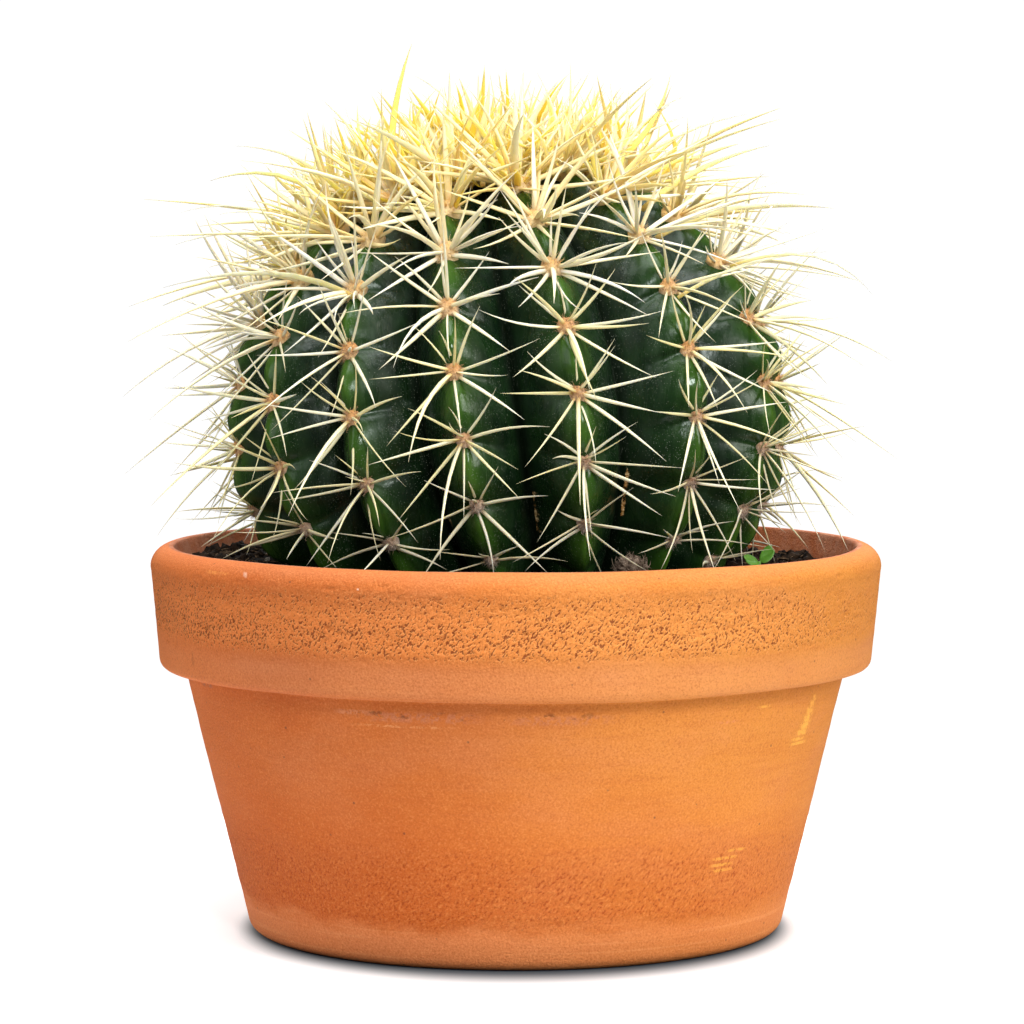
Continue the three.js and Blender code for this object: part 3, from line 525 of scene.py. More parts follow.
def peat():
    soil = Finish("peat_soil")
    lumps = soil.noise(3, 6, 0.7)
    tones = [(0.3, (0.003, 0.002, 0.0015)), (0.55, (0.010, 0.006, 0.004)), (0.8, (0.045, 0.026, 0.014))]
    soil.colour = soil.ramp(lumps, tones)
    soil.paint((0.24, 0.19, 0.15), soil.specks(2.2, 0.16, 0.08) * 0.3)
    bump = soil.bump(soil.noise(0.9, 6, 0.75), 0.4, 0.9)
    return soil.done(roughness=0.93, specular_ior_level=0.1, normal=bump)


def skin_of_stem():
    skin = Finish("cactus_skin")
    crest = skin.value("crest")
    lit = skin.value("lit")
    mottle = skin.noise(9, 5, 0.6)
    streak = skin.noise(5, 5, 0.65, (1, 1, 0.16), 0.4)
    streaked = streak.band(0.35, 0.7)
    dark = skin.mix(mottle.band(0.35, 0.7), (0.003, 0.011, 0.004), (0.007, 0.024, 0.006))
    middle = skin.mix(streaked, (0.010, 0.036, 0.006), (0.019, 0.058, 0.009))
    bright = skin.mix(streaked, (0.032, 0.090, 0.009), (0.062, 0.145, 0.016))
    # painted shade: darker towards the grooves
    skin.colour = skin.mix(crest.band(0.35, 1.0), dark, middle)
    # painted light: a brighter green on the chins under the areoles, where they face the lamps
    skin.paint(bright, lit)
    deep = crest.band(0.2, 0.02)
    # painted shade: near black at the bottom of the grooves
    skin.paint((0.002, 0.005, 0.002), deep)
    skin.paint((0.13, 0.19, 0.15), streak.band(0.5, 0.72) * mottle.band(0.42, 0.66) * 0.05)
    scattered = skin.noise(12, 4).band(0.36, 0.62)
    skin.paint((0.42, 0.46, 0.38), skin.specks(0.6, 0.24, 0.12) * scattered * 0.36)
    flakes = skin.noise(1.5, 5, 0.75)
    frayed = skin.value("scar") + flakes * 0.5
    cork = skin.mix(flakes.band(0.5, 0.6), (0.55, 0.26, 0.07), (0.95, 0.74, 0.40))
    skin.paint(cork, frayed.band(0.86, 0.98) * flakes.band(0.42, 0.48))
    lines = skin.bump(skin.noise(0.6, scale=(1, 1, 0.12)), 0.03, 0.6)
    folds = skin.bump(skin.noise(4.5, 4, scale=(1, 1, 0.35), distortion=0.5), 0.38, 0.6, lines)
    gloss = streak.band(0.35, 0.7, 0.20, 0.40) * lit.band(0.1, 0.6, 1.0, 0.62)
    return skin.done(
        roughness=skin.math("MAXIMUM", gloss, deep * 0.9),
        specular_ior_level=0.3,
        # painted shade: reflections tinted near black at the bottom of the grooves
        specular_tint=skin.mix(deep, (0.90, 1.0, 0.94), (0.04, 0.05, 0.04)),
        normal=skin.bump(skin.noise(2.0), 0.12, 0.6, folds),
    )


def spine_finish(name, golden):
    """Ivory with a yellow base on the stem, and golden in the crown."""
    spine = Finish(name)
    along = spine.value("along")
    age = spine.value("age")
    tint = spine.value("tint")
    cream = spine.mix(tint, (0.80, 0.72, 0.36), (0.95, 0.92, 0.68))
    white = spine.mix(tint, (0.90, 0.82, 0.58), (0.98, 0.97, 0.88))
    old = spine.mix(tint, (0.60, 0.53, 0.38), (0.82, 0.78, 0.62))
    spine.colour = spine.mix(age.band(0.45, 0.8), cream, white)
    spine.paint(old, age.band(0.28, 0.02))
    tones = [(0.05, (0.92, 0.58, 0.05)), (0.35, (0.95, 0.75, 0.19)), (0.8, (0.97, 0.89, 0.50))]
    gold = spine.mix(along.band(0.6, 0.0, 0.0, 0.6), spine.ramp(tint, tones), (0.92, 0.56, 0.08))
    spine.paint(gold, 0.95 if golden else age.band(0.78, 0.97) * 0.6)
    base = spine.mix(age.band(0.05, 0.4), (0.20, 0.11, 0.06), (0.62, 0.34, 0.08))
    spine.paint(base, along.band(0.14, 0.02) * 0.85)
    # golden edges along the narrow sides of the flat spines, partly their own colour and partly painted shade
    spine.paint((0.72, 0.52, 0.15), spine.value("edge") * 0.38)
    spine.paint((0.55, 0.42, 0.20), along.band(0.75, 1.0) * 0.25)
    spine.paint((0.66, 0.50, 0.22), spine.noise(1.2, 3, 0.7).band(0.52, 0.75) * 0.15)
    depth = np.array((3.0, 2.4, 1.0) if golden else (1.5, 1.2, 0.6)) * MM
    return spine.done(
        roughness=0.5,
        specular_ior_level=0.4,
        subsurface_weight=0.7 if golden else 0.35,
        subsurface_radius=depth.tolist(),
        subsurface_scale=1.0,
        normal=spine.bump(spine.noise(0.35, 2), 0.05, 0.5),
    )


def wool_finish(name, fresh_top, fresh_foot):
    """Felt that turns grey-tan with age."""
    wool = Finish(name)
    age = wool.value("age")
    lower = wool.value("lower")
    worn = wool.mix(lower, (0.74, 0.36, 0.11), (0.78, 0.50, 0.26))
    fresh = wool.mix(age.band(0.55, 0.9), worn, wool.mix(lower, fresh_top, fresh_foot))
    grey = wool.mix(lower, (0.54, 0.35, 0.23), (0.62, 0.53, 0.43))
    wool.colour = wool.mix(age.band(0.05, 0.45), grey, fresh)
    tangle = wool.noise(0.9, 4, 0.7)
    wool.paint((0.86, 0.68, 0.46), tangle.band(0.52, 0.7) * 0.5)
    wool.paint((0.26, 0.09, 0.03), tangle.band(0.47, 0.36) * age.band(1.0, 0.7) * 0.6)
    return wool.done(
        roughness=0.9,
        specular_ior_level=0.2,
        sheen_weight=0.4,
        sheen_roughness=0.5,
        normal=wool.bump(wool.noise(0.5, 4, 0.7), 0.5),
    )


def leaf_finish():
    leaf = Finish("fresh_leaf")
    leaf.colour = leaf.mix(leaf.noise(1.0, 4, 0.6), (0.05, 0.17, 0.012), (0.13, 0.32, 0.03))
    return leaf.done(
        roughness=0.42,
        subsurface_weight=0.2,
        subsurface_radius=(0.5 * MM, 1.0 * MM, 0.2 * MM),
        subsurface_scale=1.0,
        normal=leaf.bump(leaf.noise(0.5), 0.06, 0.6),
    )


def fibre_finish(name, dark, pale):
    fibre = Finish(name)
    fibre.colour = fibre.mix(fibre.noise(1.6, 5, 0.7).band(0.35, 0.68), dark, pale)
    bump = fibre.bump(fibre.noise(0.4, 4, 0.7), 0.15, 0.8)
    return fibre.done(roughness=0.9, specular_ior_level=0.12, normal=bump)


# Pot

POT_COLUMNS = 720
BAND_PITS_FOOT = 84 * MM
BAND_PITS_TOP = 108.5 * MM
PIT_COUNT = 900
PIT_HALF_LENGTHS = (0.7, 1.5)
PIT_HALF_HEIGHTS = (0.35, 0.6)
PIT_DEPTHS = (0.15, 0.45)
DEEPEST_PIT = 0.8 * MM
WAVE_SIZE = 60 * MM
WAVE_DEPTH = 0.35 * MM
THROWING_SIZE = 4 * MM
THROWING_DEPTH = 0.09 * MM
HIDDEN_DEPTH = SOIL_HEIGHT - 8 * MM


def arc(centre, rounding, start, end, steps):
    angles = np.radians(np.linspace(start, end, steps + 1))
    return [(centre[0] + rounding * math.cos(a), centre[1] + rounding * math.sin(a)) for a in angles]


def inside_radius(height):
    share = (height - FLOOR_THICKNESS) / (POT_HEIGHT - FLOOR_THICKNESS)
    return FLOOR_RADIUS + (MOUTH_RADIUS - FLOOR_RADIUS) * share


def outline_step(start, end):
    """How finely a run of the outline is divided: finest on the outside of the band."""
    height = (start[1] + end[1]) / 2
    outside = end[0] + start[0] > 2 * inside_radius(height) + 2 * MM
    if outside and height > BAND_FOOT_HEIGHT:
        return 0.5 * MM
    if height > HIDDEN_DEPTH:
        return 0.9 * MM
    return 1.4 * MM if outside and height > 1 * MM else 9 * MM


def pot_outline():
    """The pot's outline from the drain hole round the foot, band, lip and inside, as radius and height."""
    slope = math.atan((WALL_TOP_RADIUS - FOOT_RADIUS) / BAND_FOOT_HEIGHT)
    foot_centre = FOOT_RADIUS + FOOT_ROUNDING * (math.tan(slope) - 1 / math.cos(slope))
    band_edge = BAND_FOOT_RADIUS - BAND_ROUNDING
    fillet = FLOOR_THICKNESS + FLOOR_ROUNDING
    corners = [
        (DRAIN_RADIUS, 0),
        *arc((foot_centre, FOOT_ROUNDING), FOOT_ROUNDING, -90, -math.degrees(slope), 7),
        (WALL_TOP_RADIUS, BAND_FOOT_HEIGHT),
        *arc((band_edge, BAND_FOOT_HEIGHT + BAND_ROUNDING), BAND_ROUNDING, -90, -4, 5),
        *arc((RIM_RADIUS - LIP_ROUNDING, POT_HEIGHT - LIP_ROUNDING), LIP_ROUNDING, 0, 90, 12),
        (MOUTH_RADIUS + 0.25 * MM, POT_HEIGHT - 0.12 * MM),
        (MOUTH_RADIUS, POT_HEIGHT - MOUTH_BEVEL),
        (inside_radius(HIDDEN_DEPTH), HIDDEN_DEPTH),
        (inside_radius(fillet), fillet),
        (FLOOR_RADIUS - FLOOR_ROUNDING, FLOOR_THICKNESS),
        (DRAIN_RADIUS, FLOOR_THICKNESS),
    ]
    points = [corners[0]]
    for start, end in zip(corners, corners[1:]):
        count = max(1, round(math.dist(start, end) / outline_step(start, end)))
        for i in range(1, count + 1):
            points.append(tuple(np.array(start) + (np.array(end) - start) * i / count))
    return np.array(points)


def carve_pits(azimuths, heights):
    """How deep the dragged pits of the band go at each height and azimuth."""
    depth = np.zeros((len(heights), len(azimuths)))
    for _ in range(PIT_COUNT):
        centre = random.uniform(0, TURN)
        height = BAND_PITS_FOOT + (BAND_PITS_TOP - BAND_PITS_FOOT) * random.beta(2.2, 2.2)
        half_length = random.uniform(*PIT_HALF_LENGTHS) * MM / RIM_RADIUS
        half_height = random.uniform(*PIT_HALF_HEIGHTS) * MM
        deepest = random.uniform(*PIT_DEPTHS) * MM
        off_side = (azimuths - centre + math.pi) % TURN - math.pi
        off_up = heights - height
        columns = np.abs(off_side) < 2 * half_length
        rows = np.abs(off_up) < 2 * half_height
        shape = np.exp(
            -((off_up[rows, None] / half_height) ** 2) - (off_side[None, columns] / half_length) ** 2
        )
        depth[np.ix_(rows, columns)] += deepest * shape
    return np.minimum(depth, DEEPEST_PIT)


def pot_faces(numbers, fine_rows):
    """Faces between rows of point numbers, where only fine rows keep every column."""
    faces = []
    rows, columns = numbers.shape
    for row in range(rows):
        below, above = row, (row + 1) % rows
        fine_below, fine_above = fine_rows[below], fine_rows[above]
        for column in range(0, columns, 2):
            middle, end = column + 1, (column + 2) % columns
            if fine_below and fine_above:
                for a, b in ((column, middle), (middle, end)):
                    faces.append((numbers[below, a], numbers[below, b], numbers[above, b], numbers[above, a]))
                continue
            low = (column, middle, end) if fine_below else (column, end)
            high = (end, middle, column) if fine_above else (end, column)
            faces.append([numbers[below, c] for c in low] + [numbers[above, c] for c in high])
    return [tuple(int(n) for n in face) for face in faces]


def clay_rise(outline, azimuths, visible):
    """How far soft waves and fine rings of throwing lift the clay at each height and azimuth."""
    heights = outline[:, 1]
    rounds = around(azimuths[::4], outline[:, :1], heights[:, None])
    waves = np.repeat(noise_at(rounds, WAVE_SIZE, 2, 1.0), 4, axis=1)
    waves = sum(np.roll(waves, shift, 1) for shift in range(4)) / 4
    throwing = noise_at(around(0, 0.0, heights) + (0.5, 0.5, 0), THROWING_SIZE, 2, 2.0)
    return waves * WAVE_DEPTH * visible[:, None] + (throwing * THROWING_DEPTH * visible)[:, None]


def build_pot(finish):
    outline = pot_outline()
    tangent = np.gradient(outline, axis=0)
    normal = unit(np.stack((tangent[:, 1], -tangent[:, 0]), axis=-1))
    outward = normal[:, 0]
    azimuths = full_turn(POT_COLUMNS)
    heights = outline[:, 1]
    in_band = (outward > 0.3) & (heights > BAND_PITS_FOOT - 3 * MM) & (heights < BAND_PITS_TOP)
    pits = carve_pits(azimuths, heights) * in_band[:, None]
    rise = clay_rise(outline, azimuths, smoothstep(heights, 3 * MM, 12 * MM)) - pits
    rise[(np.abs(outward) < 0.5) & (heights < 20 * MM)] = 0
    radius, height = (outline[:, i, None] + normal[:, i, None] * rise for i in (0, 1))
    grid = around(azimuths, radius, height)

    # The band keeps all of its columns, and the other rows every second one
    numbers = np.full(grid.shape[:2], -1)
    points = []
    for row, fine in enumerate(in_band):
        columns = np.arange(0, POT_COLUMNS, 1 if fine else 2)
        numbers[row, columns] = np.arange(len(columns)) + len(points)
        points.extend(grid[row, columns])
    values = {
        # how deep the carved pits go, which the finish darkens as painted shade
        "pit": np.clip(pits / (0.5 * MM), 0, 1),
        "inner": ((outward < 0.1) & (heights > FLOOR_THICKNESS - 1 * MM))[:, None],
        "lip": smoothstep(heights, 107 * MM, 110 * MM)[:, None],
    }
    attributes = {key: np.broadcast_to(value, numbers.shape)[numbers >= 0] for key, value in values.items()}
    new_piece("pot_clay", points, pot_faces(numbers, in_band), finish, attributes, ["pot"])


# Stem

RIB_COLUMNS = 22
STEM_ROWS = 180
TOP_ROW = math.radians(86)
STEM_TURN = np.array(Matrix.Rotation(-LEAN_LEFT, 3, "Y") @ Matrix.Rotation(-LEAN_BACK, 3, "X"))
STEM_AXIS = STEM_TURN[:, 2]
SHORTEST_SPINE = 5 * MM
AREOLE_REACH = 7 * MM
CREASE_PLACE = 0.95
CREASE_SLANT = 0.25
CREASE_WIDTH = 0.06
CREASE_DEPTH = 0.8 * MM
SKIN_LUMPS = 14 * MM
SKIN_ROUGHNESS = 0.30 * MM
LIT_EDGE = 3.2

# Corky scars in the grooves: azimuth, lowest and highest latitude, in degrees
SCARS = ((3, -36, -20), (28, -34, -18), (-21, -30, -24), (54, -38, -28), (-45, -38, -30), (150, -36, -24))
SCAR_SHIFT = math.radians(1.6)
SCAR_WIDTH = math.radians(0.8)


def ball_radius(latitude):
    height = np.where(latitude > 0, STEM_RISE, STEM_DROP)
    return 1 / np.hypot(np.cos(latitude) / STEM_RADIUS, np.sin(latitude) / height)


def on_stem(azimuth, latitude, radius):
    return around(azimuth, np.cos(latitude) * radius, np.sin(latitude) * radius) @ STEM_TURN.T + STEM_CENTRE


def place_on_stem(points):
    """The azimuth, latitude and radius of points, seen from the stem's centre."""
    local = (points - STEM_CENTRE) @ STEM_TURN
    radius = np.linalg.norm(local, axis=-1)
    return np.arctan2(local[..., 0], -local[..., 1]), np.arcsin(local[..., 2] / radius), radius


def directions_at(azimuth, latitude):
    """Out of the stem, up along the rib and to the right, at an areole."""
    height = np.where(latitude > 0, STEM_RISE, STEM_DROP)
    local = around(azimuth, np.cos(latitude), np.sin(latitude) * (STEM_RADIUS / height) ** 2)
    out = unit(local @ STEM_TURN.T)
    up = unit(STEM_AXIS - out * np.sum(out * STEM_AXIS, axis=-1, keepdims=True))
    return out, up, np.cross(up, out)


def welded(node):
    """The points and triangles of a solid, each point once."""
    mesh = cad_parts[node].data
    points = np.empty(len(mesh.vertices) * 3)
    mesh.vertices.foreach_get("co", points)
    points = points.reshape(-1, 3)
    rounded = np.round(points / (0.001 * MM))
    _, first, number = np.unique(rounded, axis=0, return_index=True, return_inverse=True)
    mesh.calc_loop_triangles()
    corners = np.empty(len(mesh.loop_triangles) * 3, np.int32)
    mesh.loop_triangles.foreach_get("vertices", corners)
    return points[first], number.ravel()[corners].reshape(-1, 3)


def read_spines(node):
    """The root, middle and tip of each spine of a solid.

    A tip has three neighbours, all far away. Where only three more points lie below them, the spine
    bends there, and otherwise they are its root on a pad.
    """
    points, triangles = welded(node)
    near = [set() for _ in points]
    for triangle in triangles.tolist():
        for corner in triangle:
            near[corner].update(triangle)
    tracks = []
    for tip, ring in enumerate(near):
        ring = ring - {tip}
        centre = points[list(ring)].mean(axis=0)
        if len(ring) != 3 or np.linalg.norm(points[tip] - centre) < SHORTEST_SPINE:
            continue
        below = set().union(*(near[corner] for corner in ring)) - ring - {tip}
        bent = len(below) == 3
        root = points[list(below)].mean(axis=0) if bent else centre
        middle = centre if bent else (centre + points[tip]) / 2
        tracks.append((root, middle, points[tip]))
    return np.array(tracks)


def find_areoles(tracks):
    """The middles of the stem's areoles, from the roots of their spines."""
    groups = []
    for root in tracks[:, 0]:
        home = next((g for g in groups if np.linalg.norm(np.mean(g, axis=0) - root) < AREOLE_REACH), None)
        if home is None:
            groups.append([root])
        else:
            home.append(root)
    return np.array([np.mean(group, axis=0) for group in groups])


def find_ribs(areoles):
    """The azimuth of each rib, and the latitude of its areole nearest the widest ring."""
    azimuth, latitude, _ = place_on_stem(areoles)
    order = np.argsort(azimuth)
    azimuth, latitude = azimuth[order], latitude[order]
    gaps = np.diff(azimuth, append=azimuth[0] + TURN)
    breaks = np.sort(np.argsort(gaps)[-RIB_COUNT:])
    ribs = []
    for group in np.split(np.arange(len(azimuth)), breaks + 1):
        if len(group):
            steps = np.round((latitude[group] - latitude[group[0]]) / AREOLE_STEP)
            phase = np.mean(latitude[group] - steps * AREOLE_STEP)
            ribs.append((azimuth[group].mean(), phase - AREOLE_STEP * round(phase / AREOLE_STEP)))
    return np.array(ribs)


def columns_of(ribs, per_rib):
    """Azimuth, phase and groove share of columns between the ribs' crests."""
    share = np.arange(per_rib) / per_rib
    following = np.roll(ribs, -1, axis=0)
    following[-1, 0] += TURN
    between = ribs[:, None, :] + (following - ribs)[:, None, :] * share[None, :, None]
    groove = np.broadcast_to(1 - np.abs(2 * share - 1), between.shape[:2])
    return between[..., 0].ravel(), between[..., 1].ravel(), groove.ravel()


def below_areole(phase, latitude):
    """How far down from one areole to the next, from 0 to 1."""
    return ((phase - latitude) / AREOLE_STEP) % 1.0


def chin(phase, groove, latitude):
    """Under each areole the rib swells, and a crease runs down its flanks over the next one."""
    below = below_areole(phase, latitude)
    swell = np.sin(math.pi * below**CHIN_SAG) ** CHIN_ROUNDNESS
    flank = (1 - groove) ** CHIN_EDGE
    crease_place = (below - CREASE_PLACE - CREASE_SLANT * groove) % 1.0
    crease_distance = np.minimum(crease_place, 1 - crease_place)
    crease = np.exp(-((crease_distance / CREASE_WIDTH) ** 2)) * flank * smoothstep(groove, 0.05, 0.3)
    return (CHIN_RISE * swell * flank - CREASE_DEPTH * crease) * np.cos(latitude)


def crown_latitude(degrees, phase, groove):
    """The wool's edge evens out the ribs' heights and runs down each crest."""
    latitude = math.radians(degrees)
    share = (POLE - latitude) / (POLE - TOP_AREOLE * AREOLE_STEP)
    return latitude + (phase + WOOL_LOBE * groove) * share


def crown_radius(latitude):
    """The ball with the dip in its top."""
    return ball_radius(latitude) - CROWN_DIP * smoothstep(latitude, CROWN_DIP_LATITUDE, POLE)


def stem_radius(phase, groove, latitude):
    ball = ball_radius(latitude)
    body = ball - GROOVE_DEPTH * groove**GROOVE_POWER * np.cos(latitude) + chin(phase, groove, latitude)
    seat = crown_radius(latitude) - WOOL_DEPTH
    seat_rim = crown_latitude(SEAT_RIM_LATITUDE, phase, groove)
    edge = smoothstep(latitude, seat_rim, crown_latitude(SEAT_EDGE_LATITUDE, phase, groove))
    body = body + (ball - body) * smoothstep(latitude, NECK_LATITUDE, ROOT_LATITUDE)
    return body * (1 - edge) + np.minimum(seat, body - 1 * MM) * edge


def stem_radius_at(ribs, azimuth, latitude):
    """The radius of the stem in any direction."""
    start = ribs[0, 0]
    turned = (azimuth - start) % TURN + start
    crests = np.append(ribs[:, 0], start + TURN)
    phases = np.append(ribs[:, 1], ribs[0, 1])
    index = np.clip(np.searchsorted(crests, turned, side="right") - 1, 0, RIB_COUNT - 1)
    share = (turned - crests[index]) / (crests[index + 1] - crests[index])
    phase = phases[index] + (phases[index + 1] - phases[index]) * share
    return stem_radius(phase, 1 - np.abs(2 * share - 1), latitude)


def scar_shares(azimuth, groove, latitude):
    """How corky each point of the stem's grid is."""
    scar = np.zeros_like(latitude)
    for middle, low, high in SCARS:
        turn = (azimuth - math.radians(middle) + math.pi) % TURN - math.pi
        nearest_groove = azimuth[np.argmin(np.where(groove > 0.95, np.abs(turn), math.inf))]
        off = (azimuth - nearest_groove - SCAR_SHIFT + math.pi) % TURN - math.pi
        along = smoothstep(latitude, math.radians(low - 2), math.radians(low + 3))
        along = along * smoothstep(latitude, math.radians(high + 2), math.radians(high - 3))
        scar += along * np.exp(-((off / SCAR_WIDTH) ** 2))
    return scar


def build_stem(ribs, finish):
    azimuth, phase, groove = columns_of(ribs, RIB_COLUMNS)
    rows = np.linspace(TOP_ROW, ROOT_LATITUDE, STEM_ROWS)
    latitude = rows[:, None] * np.ones_like(azimuth)
    radius = stem_radius(phase, groove, latitude)
    points = on_stem(azimuth[None, :], latitude, radius)
    rough = noise_at(points[::2, ::2], SKIN_LUMPS, 3, 3.0)
    rough = np.repeat(np.repeat(rough, 2, axis=0), 2, axis=1)[: points.shape[0], : points.shape[1]]
    rough = (rough + np.roll(rough, 1, 1) + np.roll(rough, 1, 0)) / 3
    points = on_stem(azimuth[None, :], latitude, radius + SKIN_ROUGHNESS * rough)
    top = on_stem(0.0, POLE, ball_radius(POLE) - CROWN_DIP - WOOL_DEPTH)
    points, faces = closed_skin(points, top, on_stem(0.0, -POLE, ROOT_DROP))
    below = below_areole(phase, latitude)
    on_chin = smoothstep(below, 0.02, 0.3) * smoothstep(below, 0.98, 0.5)
    values = {
        "crest": np.broadcast_to(1 - groove, latitude.shape),
        # where the chins get painted light: away from the grooves, under each areole
        "lit": np.clip(1 - LIT_EDGE * groove, 0, 1) * on_chin,
        "scar": scar_shares(azimuth, groove, latitude),
    }
    attributes = {key: np.append(value.ravel(), (0, 0)) for key, value in values.items()}
    new_piece("stem_skin", points, faces, finish, attributes, ["cactus_stem"])


# Spines

OLDEST_LATITUDE = math.radians(-42)
YOUNGEST_LATITUDE = math.radians(60)
SPINE_SIDES = 8
SPINE_SHARES = np.array((0, 0.07, 0.2, 0.36, 0.52, 0.68, 0.82, 0.93, 1))
SPINE_SINK = 0.8 * MM
SPINE_HALF_WIDTH = 0.26 * MM
SPINE_WIDENING = 0.0120
OLD_WIDTH = 0.92
YOUNG_WIDTH = 0.58
SPINE_FLATNESS = 0.55
SPINE_TIP = 0.05
SPINE_TWIST = 0.5
EXTRA_LIFTS = (22, 62)
STANDING_BLADES = 600
DROOPING_BLADES = 240
SHORTEST_BLADE = 9
BLADE_EDGE = WOOL_EDGE_LATITUDE - 3
BLADE_TILT = 0.65
BLADE_BOW = 0.2
REACH_MARGIN = 1.5 * MM
SHORTEST_SHARE = 0.3

# Blades that stand out of the crown as seen from the front: x, y and z of the root and of the tip,
# how far the middle bows to the right and up, and half the width, in millimetres
CROWN_SINGLES = (
    ((-35, -22, 217), (-29.5, -6, 254), (-2.0, 0), 1.1),
    ((-14, -18, 225), (-29, -6, 245), (2.5, 2.0), 0.5),
    ((-24, -20, 222), (-13, -5, 243), (-1.5, -2.0), 0.6),
    ((-40, -22, 214), (-55, -8, 238), (3.0, 1.0), 0.65),
    ((-41, -23, 212), (-45, -8, 236.5), (-1.0, 0), 0.9),
    ((-45, -22, 211), (-37, -8, 236), (-1.5, -2.0), 0.65),
    ((-22, -14, 222), (-21, -4, 242), (1.5, 0), 0.5),
    ((-57, -22, 201), (-66, -8, 224), (1.0, 0), 0.75),
    ((-48, -22, 209), (-80, -8, 225), (3.0, 4.0), 0.6),
    ((-50, -24, 206), (-87, -10, 215), (2.0, 6.0), 0.85),
    ((-60, -24, 198), (-95, -14, 206), (2.0, 5.0), 0.5),
    ((-45, -56, 183), (-99, -26, 185), (3.0, 5.0), 0.9),
    ((-62, -24, 196), (-96, -20, 197), (2.0, 4.0), 0.6),
    ((5, -16, 226), (3, -4, 243), (1.0, 0), 0.5),
    ((-6, -26, 215), (7, -20, 226), (0, 1.0), 1.2),
    ((-30, -28, 212), (-24, -22, 225), (0, 0), 1.1),
    ((13, -20, 221), (6, -6, 246), (1.5, 0), 0.5),
    ((12, -20, 221), (17, -8, 243), (0, 0), 0.5),
    ((14, -24, 214), (25.5, -14, 229), (0, 0), 1.2),
    ((28, -24, 213), (33, -14, 232), (0, 0), 1.1),
    ((22, -22, 216), (44, -8, 245), (3.5, -2.0), 1.05),
    ((27, -22, 216), (48, -8, 239), (-1.5, 3.0), 0.6),
    ((36, -26, 207), (72, -12, 225), (-2.0, 2.5), 1.0),
    ((28, -22, 215), (66, -6, 234), (-2.0, 3.0), 0.6),
    ((40, -30, 199), (88, -14, 207.5), (-3.0, 5.0), 1.0),
    ((45, -56, 183), (88, -20, 195), (-1.0, 3.0), 0.6),
    ((60, -42, 191), (100, -30, 183), (3.0, 7.0), 0.5),
)


def age_at(points):
    """0 at the soil and 1 at the top of the stem."""
    return smoothstep(place_on_stem(points)[1], OLDEST_LATITUDE, YOUNGEST_LATITUDE)


def spine_half_widths(length, age, broader):
    """Longer and younger spines are wider, and some up to a number of times broader."""
    half = (SPINE_HALF_WIDTH + SPINE_WIDENING * length) * random.uniform(0.85, 1.15, len(length))
    return half * random.uniform(1.0, broader, len(length)) * (OLD_WIDTH + YOUNG_WIDTH * age**3)


def build_spines(name, tracks, finish, broader=1.0, flatness=SPINE_FLATNESS, unruly=0.06, given=None):
    """Flattened spines that keep their width and then taper to the tips.

    Spines with given half widths turn their flat side to the front.
    """
    root, middle, tip = tracks[:, 0], tracks[:, 1], tracks[:, 2]
    count = len(tracks)
    azimuth, latitude, _ = place_on_stem(root)
    out, up, _ = directions_at(azimuth, latitude)
    age = age_at(root)
    along = tip - root
    length = np.linalg.norm(along, axis=1)
    heading = along / length[:, None]
    lift = np.sum(heading * out, axis=1)
    wide = unit(np.cross(heading, np.where((np.abs(lift) > 0.8)[:, None], up, out)))
    thick = np.cross(heading, wide)
    sway = random.normal(0, unruly, (count, 2)) * length[:, None]
    bend = 2 * middle - (root + tip) / 2 + wide * sway[:, :1] + thick * sway[:, 1:]
    paths = bezier(root - heading * SPINE_SINK, bend, tip, SPINE_SHARES)
    twist = random.normal(0, SPINE_TWIST, count)[:, None]
    wide = wide * np.cos(twist) + thick * np.sin(twist)
    half = spine_half_widths(length, age, broader)
    tint = random.uniform(0, 1, count)
    if given is not None:
        half = given * MM
        wide = unit(np.cross(heading, (0, -1, 0)))
        tint = np.clip(1.2 - given + 4 * (1 - age), 0.08, 0.9)
    taper = np.maximum(1 - SPINE_SHARES**2.1, SPINE_TIP) * (0.8 + 0.2 * smoothstep(SPINE_SHARES, 0, 0.15))
    half_width = half[:, None] * taper
    points, faces = tubes(paths, wide, half_width, half_width * flatness, SPINE_SIDES)
    steps = len(SPINE_SHARES)
    angle = full_turn(SPINE_SIDES)
    attributes = {
        "along": np.tile(np.repeat(SPINE_SHARES, SPINE_SIDES), count),
        "edge": np.tile(np.abs(np.cos(angle)) ** 3, count * steps),
        "age": np.repeat(age, steps * SPINE_SIDES),
        "tint": np.repeat(tint, steps * SPINE_SIDES),
    }
    new_piece(name, points, faces, finish, attributes)


def within_reach(tips, roots):
    """Tips drawn back towards their roots until they lie inside the box of the solids."""
    low, high = np.array(cad_box[0]) + REACH_MARGIN, np.array(cad_box[1]) - REACH_MARGIN
    low[2] = SOIL_HEIGHT
    along = tips - roots
    limit = np.where(along > 0, high, low)
    share = np.min(np.clip((limit - roots) / np.where(along == 0, 1, along), SHORTEST_SHARE, 1), axis=1)
    return roots + along * share[:, None]


def spread(right, up, side, rise):
    """Steps to the right by side and up by rise."""
    return right * side[:, None] + up * rise[:, None]


def bowed_tracks(root, heading, length, bow):
    """The root, middle and tip of spines whose middles are moved by a bow."""
    tip = within_reach(root + heading * length[:, None], root)
    return np.stack((root, (root + tip) / 2 + bow, tip), axis=1)


